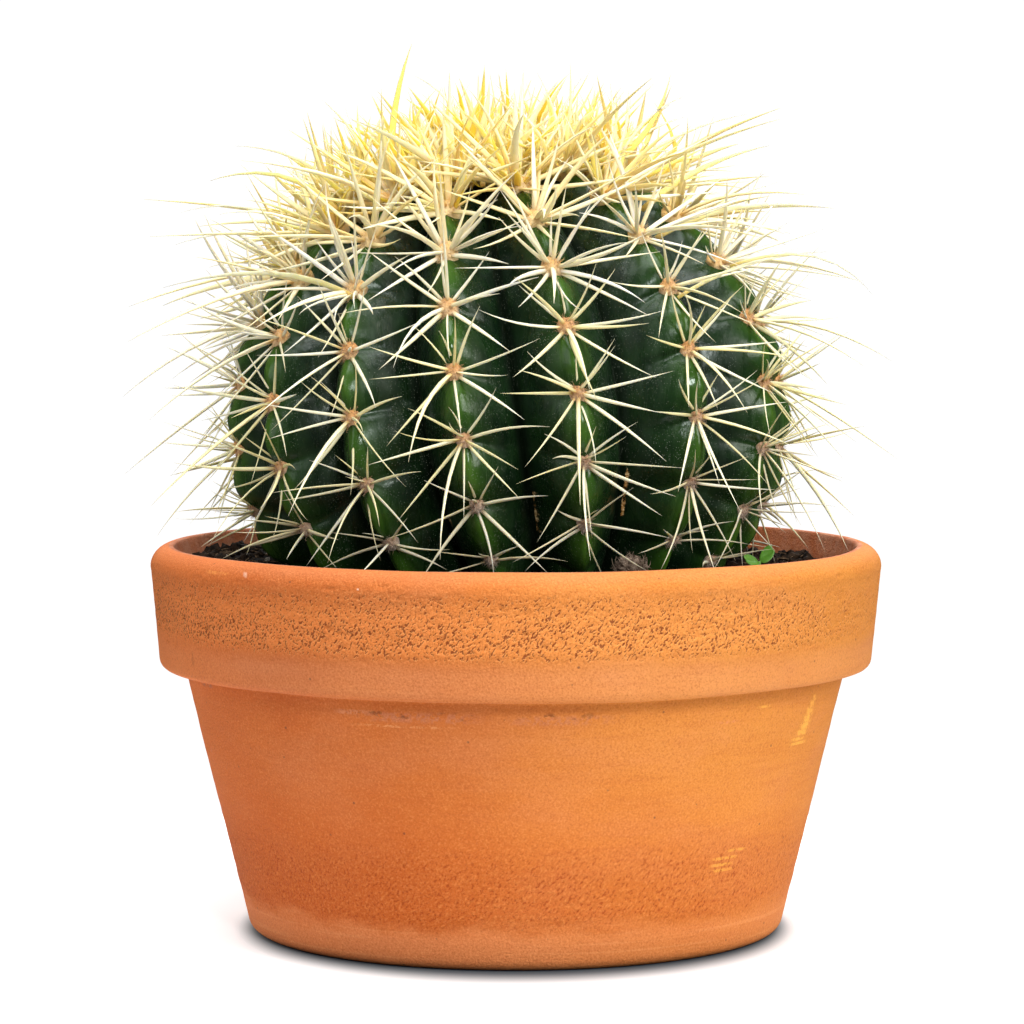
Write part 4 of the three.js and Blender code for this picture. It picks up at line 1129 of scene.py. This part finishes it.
def extra_spines(areoles, lowest, each, shortest, longest):
    """More spines for the areoles above a latitude, where the plant is thick with them."""
    latitude = place_on_stem(areoles)[1]
    homes = np.repeat(areoles[latitude > math.radians(lowest)], each, axis=0)
    azimuth, latitude, _ = place_on_stem(homes)
    out, up, right = directions_at(azimuth, latitude)
    count = len(homes)
    turn = random.uniform(0, TURN, count)
    lift = np.radians(random.uniform(*EXTRA_LIFTS, count))
    flat = spread(right, up, np.cos(turn), np.sin(turn))
    heading = spread(flat, out, np.cos(lift), np.sin(lift))
    length = random.uniform(shortest, longest, count) * MM
    root = on_stem(azimuth, latitude, ball_radius(latitude)) + flat * 1.2 * MM
    return bowed_tracks(root, heading, length, out * (0.06 * length)[:, None])


def crown_blades(count, lowest, highest, rise, droop, longest):
    """Young blades of the crown between two latitudes, which stand up or droop in all directions."""
    azimuth = random.uniform(0, TURN, count)
    low, high = math.sin(math.radians(lowest)), math.sin(math.radians(highest))
    latitude = np.arcsin(random.uniform(low, high, count))
    root = on_stem(azimuth, latitude, crown_radius(latitude))
    out, up, right = directions_at(azimuth, latitude)
    tilt = spread(right, up, *random.normal(0, BLADE_TILT, (count, 2)).T)
    heading = unit(out + (0, 0, rise) - up * droop + tilt)
    extra = (longest - SHORTEST_BLADE) * random.uniform(0, 1, count) ** 1.4
    length = (SHORTEST_BLADE + extra) * MM
    bow = random.normal(0, BLADE_BOW, (count, 2)) * length[:, None]
    return bowed_tracks(root, heading, length, spread(right, up, *bow.T))


def crown_singles():
    tracks = []
    for root, tip, (right, up), _ in CROWN_SINGLES:
        middle = (np.array(root) + tip) / 2 + (right, 0, up)
        tracks.append((root, middle, tip))
    return np.array(tracks) * MM


# Wool of the areoles and the crown

PAD_WIDTH = 4.6 * MM
PAD_LENGTH = 7.2 * MM
PAD_HEIGHT = 1.9 * MM
PAD_SINK = 1.2 * MM
PAD_ROUNDNESS = 2.4
PAD_COLUMNS = 20
PAD_SHARES = (0.2, 0.45, 0.7, 0.88, 1.0)
PAD_SKIRT = 1.06
FELT_LUMPS = 1.2 * MM
FELT_ROUGHNESS = 0.5 * MM
PAD_HAIRS = 80
PAD_HAIR_LENGTHS = (0.9, 2.1)
CROWN_COLUMNS = 12
CROWN_ROWS = 34
CROWN_LUMPS = 5 * MM
CROWN_ROUGHNESS = 0.9 * MM
CROWN_HAIRS = 3200
CROWN_HAIR_LENGTHS = (2.2, 4.5)
HAIR_SIDES = 3
HAIR_HALF_WIDTHS = 0.08 * MM * np.linspace(1, 0.15, 4)


def build_hairs(name, root, heading, length, curl, age, finish):
    curl = random.normal(0, curl, heading.shape) * length[:, None]
    values = {"age": age, "lower": random.uniform(0, 1, len(root))}
    bend = root + heading * (0.6 * length)[:, None] + curl
    end = root + heading * length[:, None]
    wide = np.cross(heading, unit(random.normal(0, 1, heading.shape)))
    build_fibres(name, root, bend, end, wide, HAIR_HALF_WIDTHS, HAIR_SIDES, finish, values)


def find_pads(areoles):
    """The middle, the directions out, up and right, and the scale of each areole's pad."""
    azimuth, latitude, _ = place_on_stem(areoles)
    middle = on_stem(azimuth, latitude, ball_radius(latitude))
    return middle, *directions_at(azimuth, latitude), 0.85 + 0.7 * age_at(middle) ** 2


def on_pads(pads, side, rise, height):
    """Points at shares of the half width and half length of pads, and at a height over them."""
    middle, out, up, right, scale = pads
    flat = spread(right, up, side * PAD_WIDTH / 2 * scale, rise * PAD_LENGTH / 2 * scale)
    return middle + flat + out * np.reshape(height * scale, (-1, 1))


def build_pads(pads, finish):
    """A felt dome at each areole."""
    turn = full_turn(PAD_COLUMNS)
    heights = [PAD_HEIGHT * (1 - share**PAD_ROUNDNESS) for share in PAD_SHARES] + [-PAD_SINK]
    points, faces, age, lower = [], [], [], []
    for pad in zip(*pads):
        middle, out, up, _, scale = pad
        rings = []
        for share, height in zip((*PAD_SHARES, PAD_SKIRT), heights):
            ring = on_pads(pad, np.cos(turn) * share, np.sin(turn) * share, height)
            rings.append(ring + out * (noise_at(ring, FELT_LUMPS, 3, 4.0) * FELT_ROUGHNESS)[:, None])
        ends = [middle + out * height * scale for height in (PAD_HEIGHT, -PAD_SINK)]
        felt, felt_faces = closed_skin(rings, *ends, len(points))
        points += felt
        faces += felt_faces
        age += [float(age_at(middle))] * len(felt)
        lower += list(smoothstep(-((np.array(felt) - middle) @ up), -1.5 * MM, 2.5 * MM))
    new_piece("areole_felt", points, faces, finish, {"age": age, "lower": lower})


def build_pad_hairs(pads, finish):
    """Short hairs that stand out of the pads."""
    homes = [np.repeat(values, PAD_HAIRS, axis=0) for values in pads]
    _, out, up, right, scale = homes
    count = len(scale)
    angle = random.uniform(0, TURN, count)
    reach = np.sqrt(random.uniform(0, 1, count))
    side, rise = np.cos(angle) * reach, np.sin(angle) * reach
    root = on_pads(homes, side, rise, (1 - reach**PAD_ROUNDNESS) * (PAD_HEIGHT - 0.3 * MM))
    lean = spread(right, up, side, rise) + random.normal(0, 0.35, (count, 3))
    heading = unit(out * (1.1 - 0.7 * reach)[:, None] + lean)
    length = random.uniform(*PAD_HAIR_LENGTHS, count) * MM * scale
    build_hairs("areole_hair", root, heading, length, 0.3, age_at(root), finish)


def wool_radius(groove, latitude):
    valley = WOOL_GROOVE * GROOVE_DEPTH * groove * np.cos(latitude)
    return crown_radius(latitude) + WOOL_RISE - valley


def build_wool(ribs, finish):
    """The woolly cap on top of the stem."""
    azimuth, phase, groove = columns_of(ribs, CROWN_COLUMNS)
    rows = np.linspace(89, WOOL_EDGE_LATITUDE, CROWN_ROWS)
    under_rows = (WOOL_EDGE_LATITUDE, 69, 80)
    latitude = np.array([crown_latitude(degrees, phase, groove) for degrees in rows])
    under_latitude = np.array([crown_latitude(degrees, phase, groove) for degrees in under_rows])
    radius = wool_radius(groove, latitude)
    lumps = noise_at(on_stem(azimuth, latitude, radius), CROWN_LUMPS, 3, 5.0)
    edge = smoothstep(rows, WOOL_EDGE_LATITUDE, WOOL_EDGE_LATITUDE + 2)[:, None]
    top = on_stem(azimuth, latitude, radius + lumps * CROWN_ROUGHNESS * edge)
    under = on_stem(azimuth, under_latitude, crown_radius(under_latitude) - WOOL_DEPTH + CROWN_GAP)
    peak = on_stem(0.0, POLE, wool_radius(0, POLE))
    hollow = on_stem(0.0, POLE, ball_radius(POLE) - CROWN_DIP - WOOL_DEPTH + CROWN_GAP)
    points, faces = closed_skin(np.concatenate((top, under)), peak, hollow)
    lower = np.concatenate((np.clip(0.5 - lumps, 0, 1), np.ones_like(under_latitude)))
    attributes = {"age": np.ones(len(points)), "lower": np.append(lower.ravel(), (0, 0))}
    new_piece("crown_wool", points, faces, finish, attributes, ["cactus_crown"])


def build_crown_hair(finish):
    azimuth = random.uniform(0, TURN, CROWN_HAIRS)
    low = math.sin(math.radians(WOOL_EDGE_LATITUDE))
    latitude = np.arcsin(random.uniform(low, 1, CROWN_HAIRS))
    root = on_stem(azimuth, latitude, crown_radius(latitude) - 1 * MM)
    out = directions_at(azimuth, latitude)[0]
    heading = unit(out + random.normal(0, 0.5, out.shape))
    length = random.uniform(*CROWN_HAIR_LENGTHS, CROWN_HAIRS) * MM
    build_hairs("crown_hair", root, heading, length, 0.25, np.ones(CROWN_HAIRS), finish)


# Soil

SOIL_COLUMNS = 240
SOIL_RINGS = 18
SOIL_LUMPS = 6 * MM
SOIL_GRAINS = 2.2 * MM
SOCKET_DROPS = (26, 12, 5)
HALVINGS = 24
CRUMB_COUNT = 1500
SMALLEST_CRUMB = 0.35 * MM
LARGEST_CRUMB = 2.3 * MM
CRUMB_SPREAD = 0.42
LUMP_ROUGHNESS = 0.55
GRIT_COUNT = 70
FIBRE_COUNT = 420
FIBRE_STEPS = 6
FIBRE_LENGTHS = (3, 9)
FIBRE_HALF_WIDTHS = (0.12, 0.3)
FIBRE_LIFT = 0.7 * MM
GRIT_SIZES = (0.4, 0.9)


def soil_level(x, y):
    level = SOIL_HEIGHT - SOIL_SLOPE * x
    for height, along_x, along_y, shift in SOIL_ROLLS:
        level = level + height * np.sin(along_x * x + along_y * y + shift)
    return level


def stem_outline_at(ribs, azimuth, height, gap):
    """How far the stem reaches from the pot's axis at a height, found by halving."""
    low = np.zeros_like(azimuth)
    high = np.full_like(azimuth, RIM_RADIUS)
    for _ in range(HALVINGS):
        middle = (low + high) / 2
        stem_azimuth, latitude, radius = place_on_stem(around(azimuth, middle, height))
        inside = radius < stem_radius_at(ribs, stem_azimuth, latitude) + gap
        low = np.where(inside, middle, low)
        high = np.where(inside, high, middle)
    return low


def soil_roughness(points):
    rough = noise_at(points, SOIL_LUMPS, 4, 6.0) * 0.9 * MM
    return rough + np.abs(noise_at(points, SOIL_GRAINS, 2, 7.0)) * 0.5 * MM


def build_soil(ribs, finish):
    """The soil from the foot of its socket over the top and down the pot's wall."""
    azimuth = full_turn(SOIL_COLUMNS)
    hole = stem_outline_at(ribs, azimuth, SOIL_HEIGHT, SEAT_GAP)
    wall = np.full_like(azimuth, inside_radius(SOIL_HEIGHT) - WALL_GAP)
    rings = []
    for drop in SOCKET_DROPS:
        height = SOIL_HEIGHT - drop * MM
        rings.append(around(azimuth, stem_outline_at(ribs, azimuth, height, SEAT_GAP), height))
    for share in np.linspace(0, 1, SOIL_RINGS):
        ring = around(azimuth, hole + (wall - hole) * share, 0.0)
        ring[:, 2] = soil_level(ring[:, 0], ring[:, 1])
        ring[:, 2] += soil_roughness(ring) * min(1, 8 * share, 8 * (1 - share))
        rings.append(ring)
    floor = FLOOR_THICKNESS + SEAT_GAP
    for height in (60 * MM, FLOOR_THICKNESS + FLOOR_ROUNDING):
        rings.append(around(azimuth, inside_radius(height) - WALL_GAP, height))
    rings.append(around(azimuth, FLOOR_RADIUS - FLOOR_ROUNDING - WALL_GAP, floor))
    neck = on_stem(0.0, -POLE, ROOT_DROP + 2 * SEAT_GAP)
    points, faces = closed_skin(rings, neck, (0, 0, floor))
    new_piece("soil_bed", points, faces, finish, replaces=["soil"])


def on_soil(ribs, count, stem_room, wall_room):
    """Random places on the soil between the stem and the pot's wall."""
    azimuth = random.uniform(0, TURN, count)
    hole = stem_outline_at(ribs, azimuth, SOIL_HEIGHT, 0.0) + stem_room
    wall = inside_radius(SOIL_HEIGHT) - wall_room
    share = np.sqrt(random.uniform(0, 1, count))
    place = around(azimuth, hole + (wall - hole) * share, 0.0)
    place[:, 2] = soil_level(place[:, 0], place[:, 1])
    return place


def lump(size, seed):
    """The corners of a rough crumb, from a ball of twenty faces."""
    golden = (1 + math.sqrt(5)) / 2
    corners = [(a, b * golden, 0) for a in (-1, 1) for b in (-1, 1)]
    corners += [(0, a, b * golden) for a in (-1, 1) for b in (-1, 1)]
    corners += [(b * golden, 0, a) for a in (-1, 1) for b in (-1, 1)]
    ball = unit(np.array(corners, float))
    rough = noise_at(ball, 0.9, 2, seed)
    return ball * (1 + LUMP_ROUGHNESS * rough[:, None]) * size


def lump_faces():
    """Each three corners of the ball that are neighbours, turned outwards."""
    ball = unit(lump(np.ones(3), 0.0))
    longest_side = 1.2
    faces = []
    for a, b, c in itertools.combinations(range(12), 3):
        sides = [np.linalg.norm(ball[i] - ball[j]) for i, j in ((a, b), (b, c), (a, c))]
        if max(sides) < longest_side:
            outward = np.dot(np.cross(ball[b] - ball[a], ball[c] - ball[a]), ball[a])
            faces.append((a, b, c) if outward > 0 else (a, c, b))
    return np.array(faces)


def scatter_lumps(name, places, sizes, finish, sink):
    shape_faces = lump_faces()
    points, faces = [], []
    for i, (place, size) in enumerate(zip(places, sizes)):
        stretch = random.uniform(0.7, 1.3, 3)
        turn = np.array(Matrix.Rotation(random.uniform(0, TURN), 3, "Z"))
        shape = lump(size * stretch, random.uniform(0, 50)) @ turn.T
        points.append(shape + place + (0, 0, size * sink))
        faces.append(shape_faces + 12 * i)
    piece = new_piece(name, np.concatenate(points), np.concatenate(faces).tolist(), finish)
    piece.data.polygons.foreach_set("use_smooth", [False] * len(piece.data.polygons))


def build_crumbs(ribs):
    """Crumbs and pale grits on the soil."""
    crumb = fibre_finish("soil_crumb", (0.004, 0.0026, 0.002), (0.036, 0.021, 0.012))
    grit = fibre_finish("pale_grit", (0.30, 0.26, 0.21), (0.55, 0.50, 0.43))
    places = on_soil(ribs, CRUMB_COUNT, 1.5 * MM, 2.5 * MM)
    sizes = random.gamma(2.0, CRUMB_SPREAD, CRUMB_COUNT) * MM + SMALLEST_CRUMB
    scatter_lumps("soil_crumbs", places, np.minimum(sizes, LARGEST_CRUMB), crumb, 0.35)
    places = on_soil(ribs, GRIT_COUNT, 2 * MM, 3 * MM)
    scatter_lumps("soil_grit", places, random.uniform(*GRIT_SIZES, GRIT_COUNT) * MM, grit, 0.6)


def build_soil_fibres(ribs, finish):
    start = on_soil(ribs, FIBRE_COUNT, 2.5 * MM, 5 * MM)
    turn = random.uniform(0, TURN, FIBRE_COUNT)
    heading = around(turn, 1.0, random.normal(0, 0.12, FIBRE_COUNT))
    end = start + heading * (random.uniform(*FIBRE_LENGTHS, FIBRE_COUNT) * MM)[:, None]
    limit = inside_radius(SOIL_HEIGHT) - 1.5 * MM
    end[:, :2] *= np.minimum(1, limit / np.hypot(end[:, 0], end[:, 1]))[:, None]
    end[:, 2] = soil_level(end[:, 0], end[:, 1])
    sway = random.normal(0, 1.2 * MM, (FIBRE_COUNT, 3)) * (1, 1, 0.5)
    bend = (start + end) / 2 + sway + (0, 0, 1.6 * MM)
    half = random.uniform(*FIBRE_HALF_WIDTHS, FIBRE_COUNT)[:, None] * MM * np.linspace(1, 0.5, FIBRE_STEPS)
    lift, wide = (0, 0, FIBRE_LIFT), (0.0, 0.0, 1.0)
    build_fibres("soil_fibres", start + lift, bend, end + lift, wide, half, 4, finish)


# Small things at the foot of the stem

TUFT_ROWS = 30
TUFT_COLUMNS = 44
TUFT_FOLD_SIZE = 0.45
TUFT_FOLD_DEPTH = 0.75
TUFT_SWELL = 1.06
TUFT_FIBRES = 260
TUFT_FIBRE_LENGTHS = (2.0, 5.0)
TUFT_FIBRE_HALF_WIDTHS = 0.13 * MM * np.array((1, 1, 0.9, 0.7, 0.3))
SEEDLING_AZIMUTH = math.radians(80.5)
SEEDLING_RADIUS = 70.6 * MM
SEEDLING_HEIGHT = 3.4 * MM
SEEDLING_DEPTH = 4 * MM
LEAF_LEAN = 0.85
LEAF_RISE = 0.25
LEAF_HEADING = 112
LEAF_LENGTH = 4.5 * MM
LEAF_WIDTH = 3.9 * MM
LEAF_THICKNESS = 0.76 * MM
LEAF_STALK = 0.3 * MM
LEAF_CUP = (50, 60)
LEAF_RIB = 0.16 * MM
LEAF_NOTCH = 0.5 * MM
NOTCH_WIDTH = 0.35
LEAF_SHARES = np.linspace(0.12, 1, 14)
LEAF_SPOKES = 28


def build_tuft(finish):
    """A crumpled ball of dry fibre round the solid's middle."""
    low, high = (np.array(corner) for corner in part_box("dry_tuft"))
    middle, half = (low + high) / 2, (high - low) / 2
    latitude = np.linspace(POLE * 0.97, -POLE * 0.97, TUFT_ROWS)[:, None]
    azimuth = full_turn(TUFT_COLUMNS)[None, :]
    ball = around(azimuth, np.cos(latitude), np.sin(latitude))
    folds = 1 - np.abs(noise_at(ball, TUFT_FOLD_SIZE, 4, 8.0)) * TUFT_FOLD_DEPTH
    shape = ball * folds[..., None] * half * TUFT_SWELL + middle
    top = middle + (0, 0, half[2] * 0.8)
    points, faces = closed_skin(shape, top, middle - (0, 0, half[2] * 0.9))
    new_piece("tuft_ball", points, faces, finish, replaces=["dry_tuft"])
    build_tuft_fibres(middle, half, finish)


def build_tuft_fibres(middle, half, finish):
    """Loose fibres that stand off the tuft."""
    root = unit(random.normal(0, 1, (TUFT_FIBRES, 3)))
    root[:, 2] = np.abs(root[:, 2]) * 0.9 - 0.2
    start = middle + root * half * 0.75
    across = unit(np.cross(root, random.normal(0, 1, (TUFT_FIBRES, 3))))
    length = random.uniform(*TUFT_FIBRE_LENGTHS, TUFT_FIBRES)[:, None] * MM
    end = start + across * length + root * 0.9 * MM
    bend = (start + end) / 2 + root * 1.3 * MM
    build_fibres("tuft_fibres", start, bend, end, root, TUFT_FIBRE_HALF_WIDTHS, 4, finish)


def seed_leaf(foot, heading):
    """The rings of a cupped leaf from its top's middle round the rim to its underside's."""
    ahead = around(heading, 1.0, 0.0)
    across = around(heading + TURN / 4, 1.0, 0.0)
    turn = full_turn(LEAF_SPOKES)
    notch = sum(LEAF_NOTCH * np.exp(-(((turn - side) / NOTCH_WIDTH) ** 2)) for side in (0, TURN))
    rings = []
    for face, shares in ((1, LEAF_SHARES), (-1, LEAF_SHARES[::-1])):
        for share in shares:
            x = LEAF_LENGTH / 2 * (1 + share * np.cos(turn)) + LEAF_STALK - notch * share
            y = LEAF_WIDTH / 2 * share * np.sin(turn)
            cup = x * x * LEAF_CUP[0] + y * y * LEAF_CUP[1]
            rib = LEAF_RIB * np.exp(-((y / (0.5 * MM)) ** 2))
            half = LEAF_THICKNESS / 2 * math.sqrt(max(1 - share**4, 0.02))
            flat = x[:, None] * ahead + y[:, None] * across
            z = SEEDLING_HEIGHT + LEAF_RISE * x + LEAF_LEAN * flat[:, 1] + cup - rib + face * half
            rings.append(foot + flat + z[:, None] * (0, 0, 1))
    return rings


def build_seedling(finish):
    """A pair of round seed leaves on a short stalk."""
    foot = around(SEEDLING_AZIMUTH, SEEDLING_RADIUS, 0.0)
    foot[2] = soil_level(foot[0], foot[1])
    points, faces = [], []
    for side in (0, 180):
        rings = seed_leaf(foot, math.radians(LEAF_HEADING + side))
        leaf, leaf_faces = closed_skin(rings, rings[0].mean(axis=0), rings[-1].mean(axis=0), len(points))
        points += leaf
        faces += leaf_faces
    heights = np.array((-SEEDLING_DEPTH, 0, SEEDLING_HEIGHT * 0.5, SEEDLING_HEIGHT))
    path = foot + heights[:, None] * (0, 0, 1)
    half = np.array([[0.55, 0.55, 0.5, 0.6]]) * MM
    stalk, stalk_faces = tubes(path[None], np.array([[1.0, 0, 0]]), half, half, 10)
    faces += [tuple(n + len(points) for n in face) for face in stalk_faces]
    points += stalk.tolist()
    new_piece("seedling_leaves", points, faces, finish, replaces=["seedling"])


# Stage

STAGE_RADIUS = 0.24
STAGE_SIDES = 96
FLOOR_GLOW = 0.5
SHADOW_REACH = 9 * MM
SHADOW_FRONT = 17 * MM
FAINT_LIGHT = 0.16
BACKDROP_LIGHT = 1.05
LIGHTS_TARGET = (0, 0, 0.13)

# Name, place, width and height, power and colour of each light
SOFT_BOXES = (
    ("key", (1.3, -0.9, 0.9), (0.7, 0.9), 19, (1.0, 0.96, 0.9)),
    ("fill", (-1.1, -0.95, 0.8), (0.7, 0.9), 4, (1, 1, 1)),
    ("top", (0, -0.35, 1.4), (1.2, 0.9), 25, (1, 1, 1)),
    ("front", (0.3, -1.4, 0.8), (0.2, 0.2), 8, (1, 1, 1)),
    ("back", (0.1, 1.3, 1.0), (1.2, 0.8), 14, (1, 1, 1)),
)

# Where the photo's camera stands, and its focal length in pixels of the photo
CAMERA_PLACE = (-0.001, -1.1753, 0.2047)
CAMERA_PITCH = 0.072
CAMERA_FOCUS = 4084.9
IMAGE_WIDTH = 1024
SENSOR_WIDTH = 36.0
CLIP_START = 0.05
CLIP_END = 50


def build_floor():
    """A pale floor with a painted shadow round the foot of the pot, lit from within further out."""
    mesh = bpy.data.meshes.new("floor")
    edge = around(full_turn(STAGE_SIDES), STAGE_RADIUS, 0.0)
    mesh.from_pydata(edge.tolist(), [], [tuple(range(STAGE_SIDES))])
    pale = Finish("pale_floor")
    y = pale.axes()[1]
    far = pale.made("ShaderNodeVectorMath", "Value", {0: pale.place}, operation="LENGTH")
    facing = pale.math("POWER", y / far, 2.0)
    reach = pale.math("MULTIPLY_ADD", facing, SHADOW_FRONT, SHADOW_REACH)
    away = (far - (FOOT_RADIUS - FOOT_ROUNDING)) / reach
    # painted shadow: dark round the foot of the pot, reaching further to the front
    pale.colour = pale.mix(away.band(0.2, 1.2), (0.07, 0.085, 0.10), (0.66, 0.66, 0.66))
    glow = away.band(0.1, 1.0, 0.0, FLOOR_GLOW)
    white = (1, 1, 1)
    finish = pale.done(roughness=0.9, specular_ior_level=0.1, emission_color=white, emission_strength=glow)
    mesh.materials.append(finish)
    floor = new_object("floor", mesh)


def build_world():
    """A white backdrop for the camera, and a faint even light on everything else."""
    world = bpy.data.worlds.new("studio")
    nodes = Nodes(world)
    faint, backdrop = (
        nodes.made("ShaderNodeBackground", 0, {"Color": (1, 1, 1), "Strength": strength})
        for strength in (FAINT_LIGHT, BACKDROP_LIGHT)
    )
    to_camera = nodes.made("ShaderNodeLightPath", "Is Camera Ray")
    choice = nodes.made("ShaderNodeMixShader", 0, {0: to_camera, 1: faint, 2: backdrop})
    nodes.link(choice, world.node_tree.nodes["World Output"].inputs[0])
    bpy.context.scene.world = world


def place_lights():
    for name, place, size, power, colour in SOFT_BOXES:
        light = bpy.data.lights.new(name, "AREA")
        light.shape = "RECTANGLE"
        light.size, light.size_y = size
        light.energy = power
        light.color = colour
        lamp = new_object(name, light)
        lamp.location = place
        lamp.rotation_euler = (Vector(LIGHTS_TARGET) - Vector(place)).to_track_quat("-Z", "Y").to_euler()


def place_camera():
    camera = bpy.data.cameras.new("camera")
    camera.sensor_width = SENSOR_WIDTH
    camera.lens = CAMERA_FOCUS * SENSOR_WIDTH / IMAGE_WIDTH
    camera.clip_start = CLIP_START
    camera.clip_end = CLIP_END
    holder = new_object("camera", camera)
    holder.location = CAMERA_PLACE
    holder.rotation_euler = (math.pi / 2 - CAMERA_PITCH, 0, 0)
    bpy.context.scene.camera = holder
    bpy.context.scene.view_settings.view_transform = "Standard"
    bpy.context.scene.view_settings.look = "None"


stem_tracks = read_spines("cactus_stem")
crown_tracks = read_spines("cactus_crown")
areoles = find_areoles(stem_tracks)
ribs = find_ribs(areoles)

build_pot(terracotta())
build_soil(ribs, peat())
build_crumbs(ribs)
build_soil_fibres(ribs, fibre_finish("soil_fibre", (0.05, 0.03, 0.018), (0.20, 0.13, 0.075)))
build_stem(ribs, skin_of_stem())
pads = find_pads(areoles)
areole_wool = wool_finish("areole_wool", (0.94, 0.60, 0.19), (0.90, 0.68, 0.34))
build_pads(pads, areole_wool)
build_pad_hairs(pads, areole_wool)
crown_wool = wool_finish("crown_wool", (0.92, 0.66, 0.22), (0.94, 0.78, 0.46))
build_wool(ribs, crown_wool)
build_crown_hair(crown_wool)
ivory = spine_finish("ivory_spines", False)
golden = spine_finish("golden_spines", True)
build_spines("stem_spines", stem_tracks, ivory, unruly=0.045)
upper = extra_spines(areoles, lowest=22, each=6, shortest=22, longest=36)
build_spines("upper_spines", upper, ivory, broader=1.1)
shoulder = extra_spines(areoles, lowest=44, each=9, shortest=12, longest=27)
build_spines("shoulder_spines", shoulder, golden, broader=1.5, flatness=0.4)
build_spines("crown_spines", crown_tracks, golden, broader=1.6, flatness=0.3, unruly=0.09)
standing = crown_blades(STANDING_BLADES, BLADE_EDGE, 90, rise=0.45, droop=0.0, longest=26)
drooping = crown_blades(DROOPING_BLADES, BLADE_EDGE, BLADE_EDGE + 9, rise=0.0, droop=0.9, longest=22)
build_spines("crown_blades", standing, golden, broader=1.9, flatness=0.25, unruly=0.05)
build_spines("crown_skirt", drooping, golden, broader=1.6, flatness=0.3, unruly=0.05)
single_widths = np.array([row[-1] for row in CROWN_SINGLES])
build_spines("crown_singles", crown_singles(), golden, flatness=0.3, unruly=0.02, given=single_widths)
build_seedling(leaf_finish())
build_tuft(fibre_finish("dry_fibre", (0.05, 0.03, 0.02), (0.33, 0.25, 0.19)))
build_floor()
build_world()
place_lights()
place_camera()
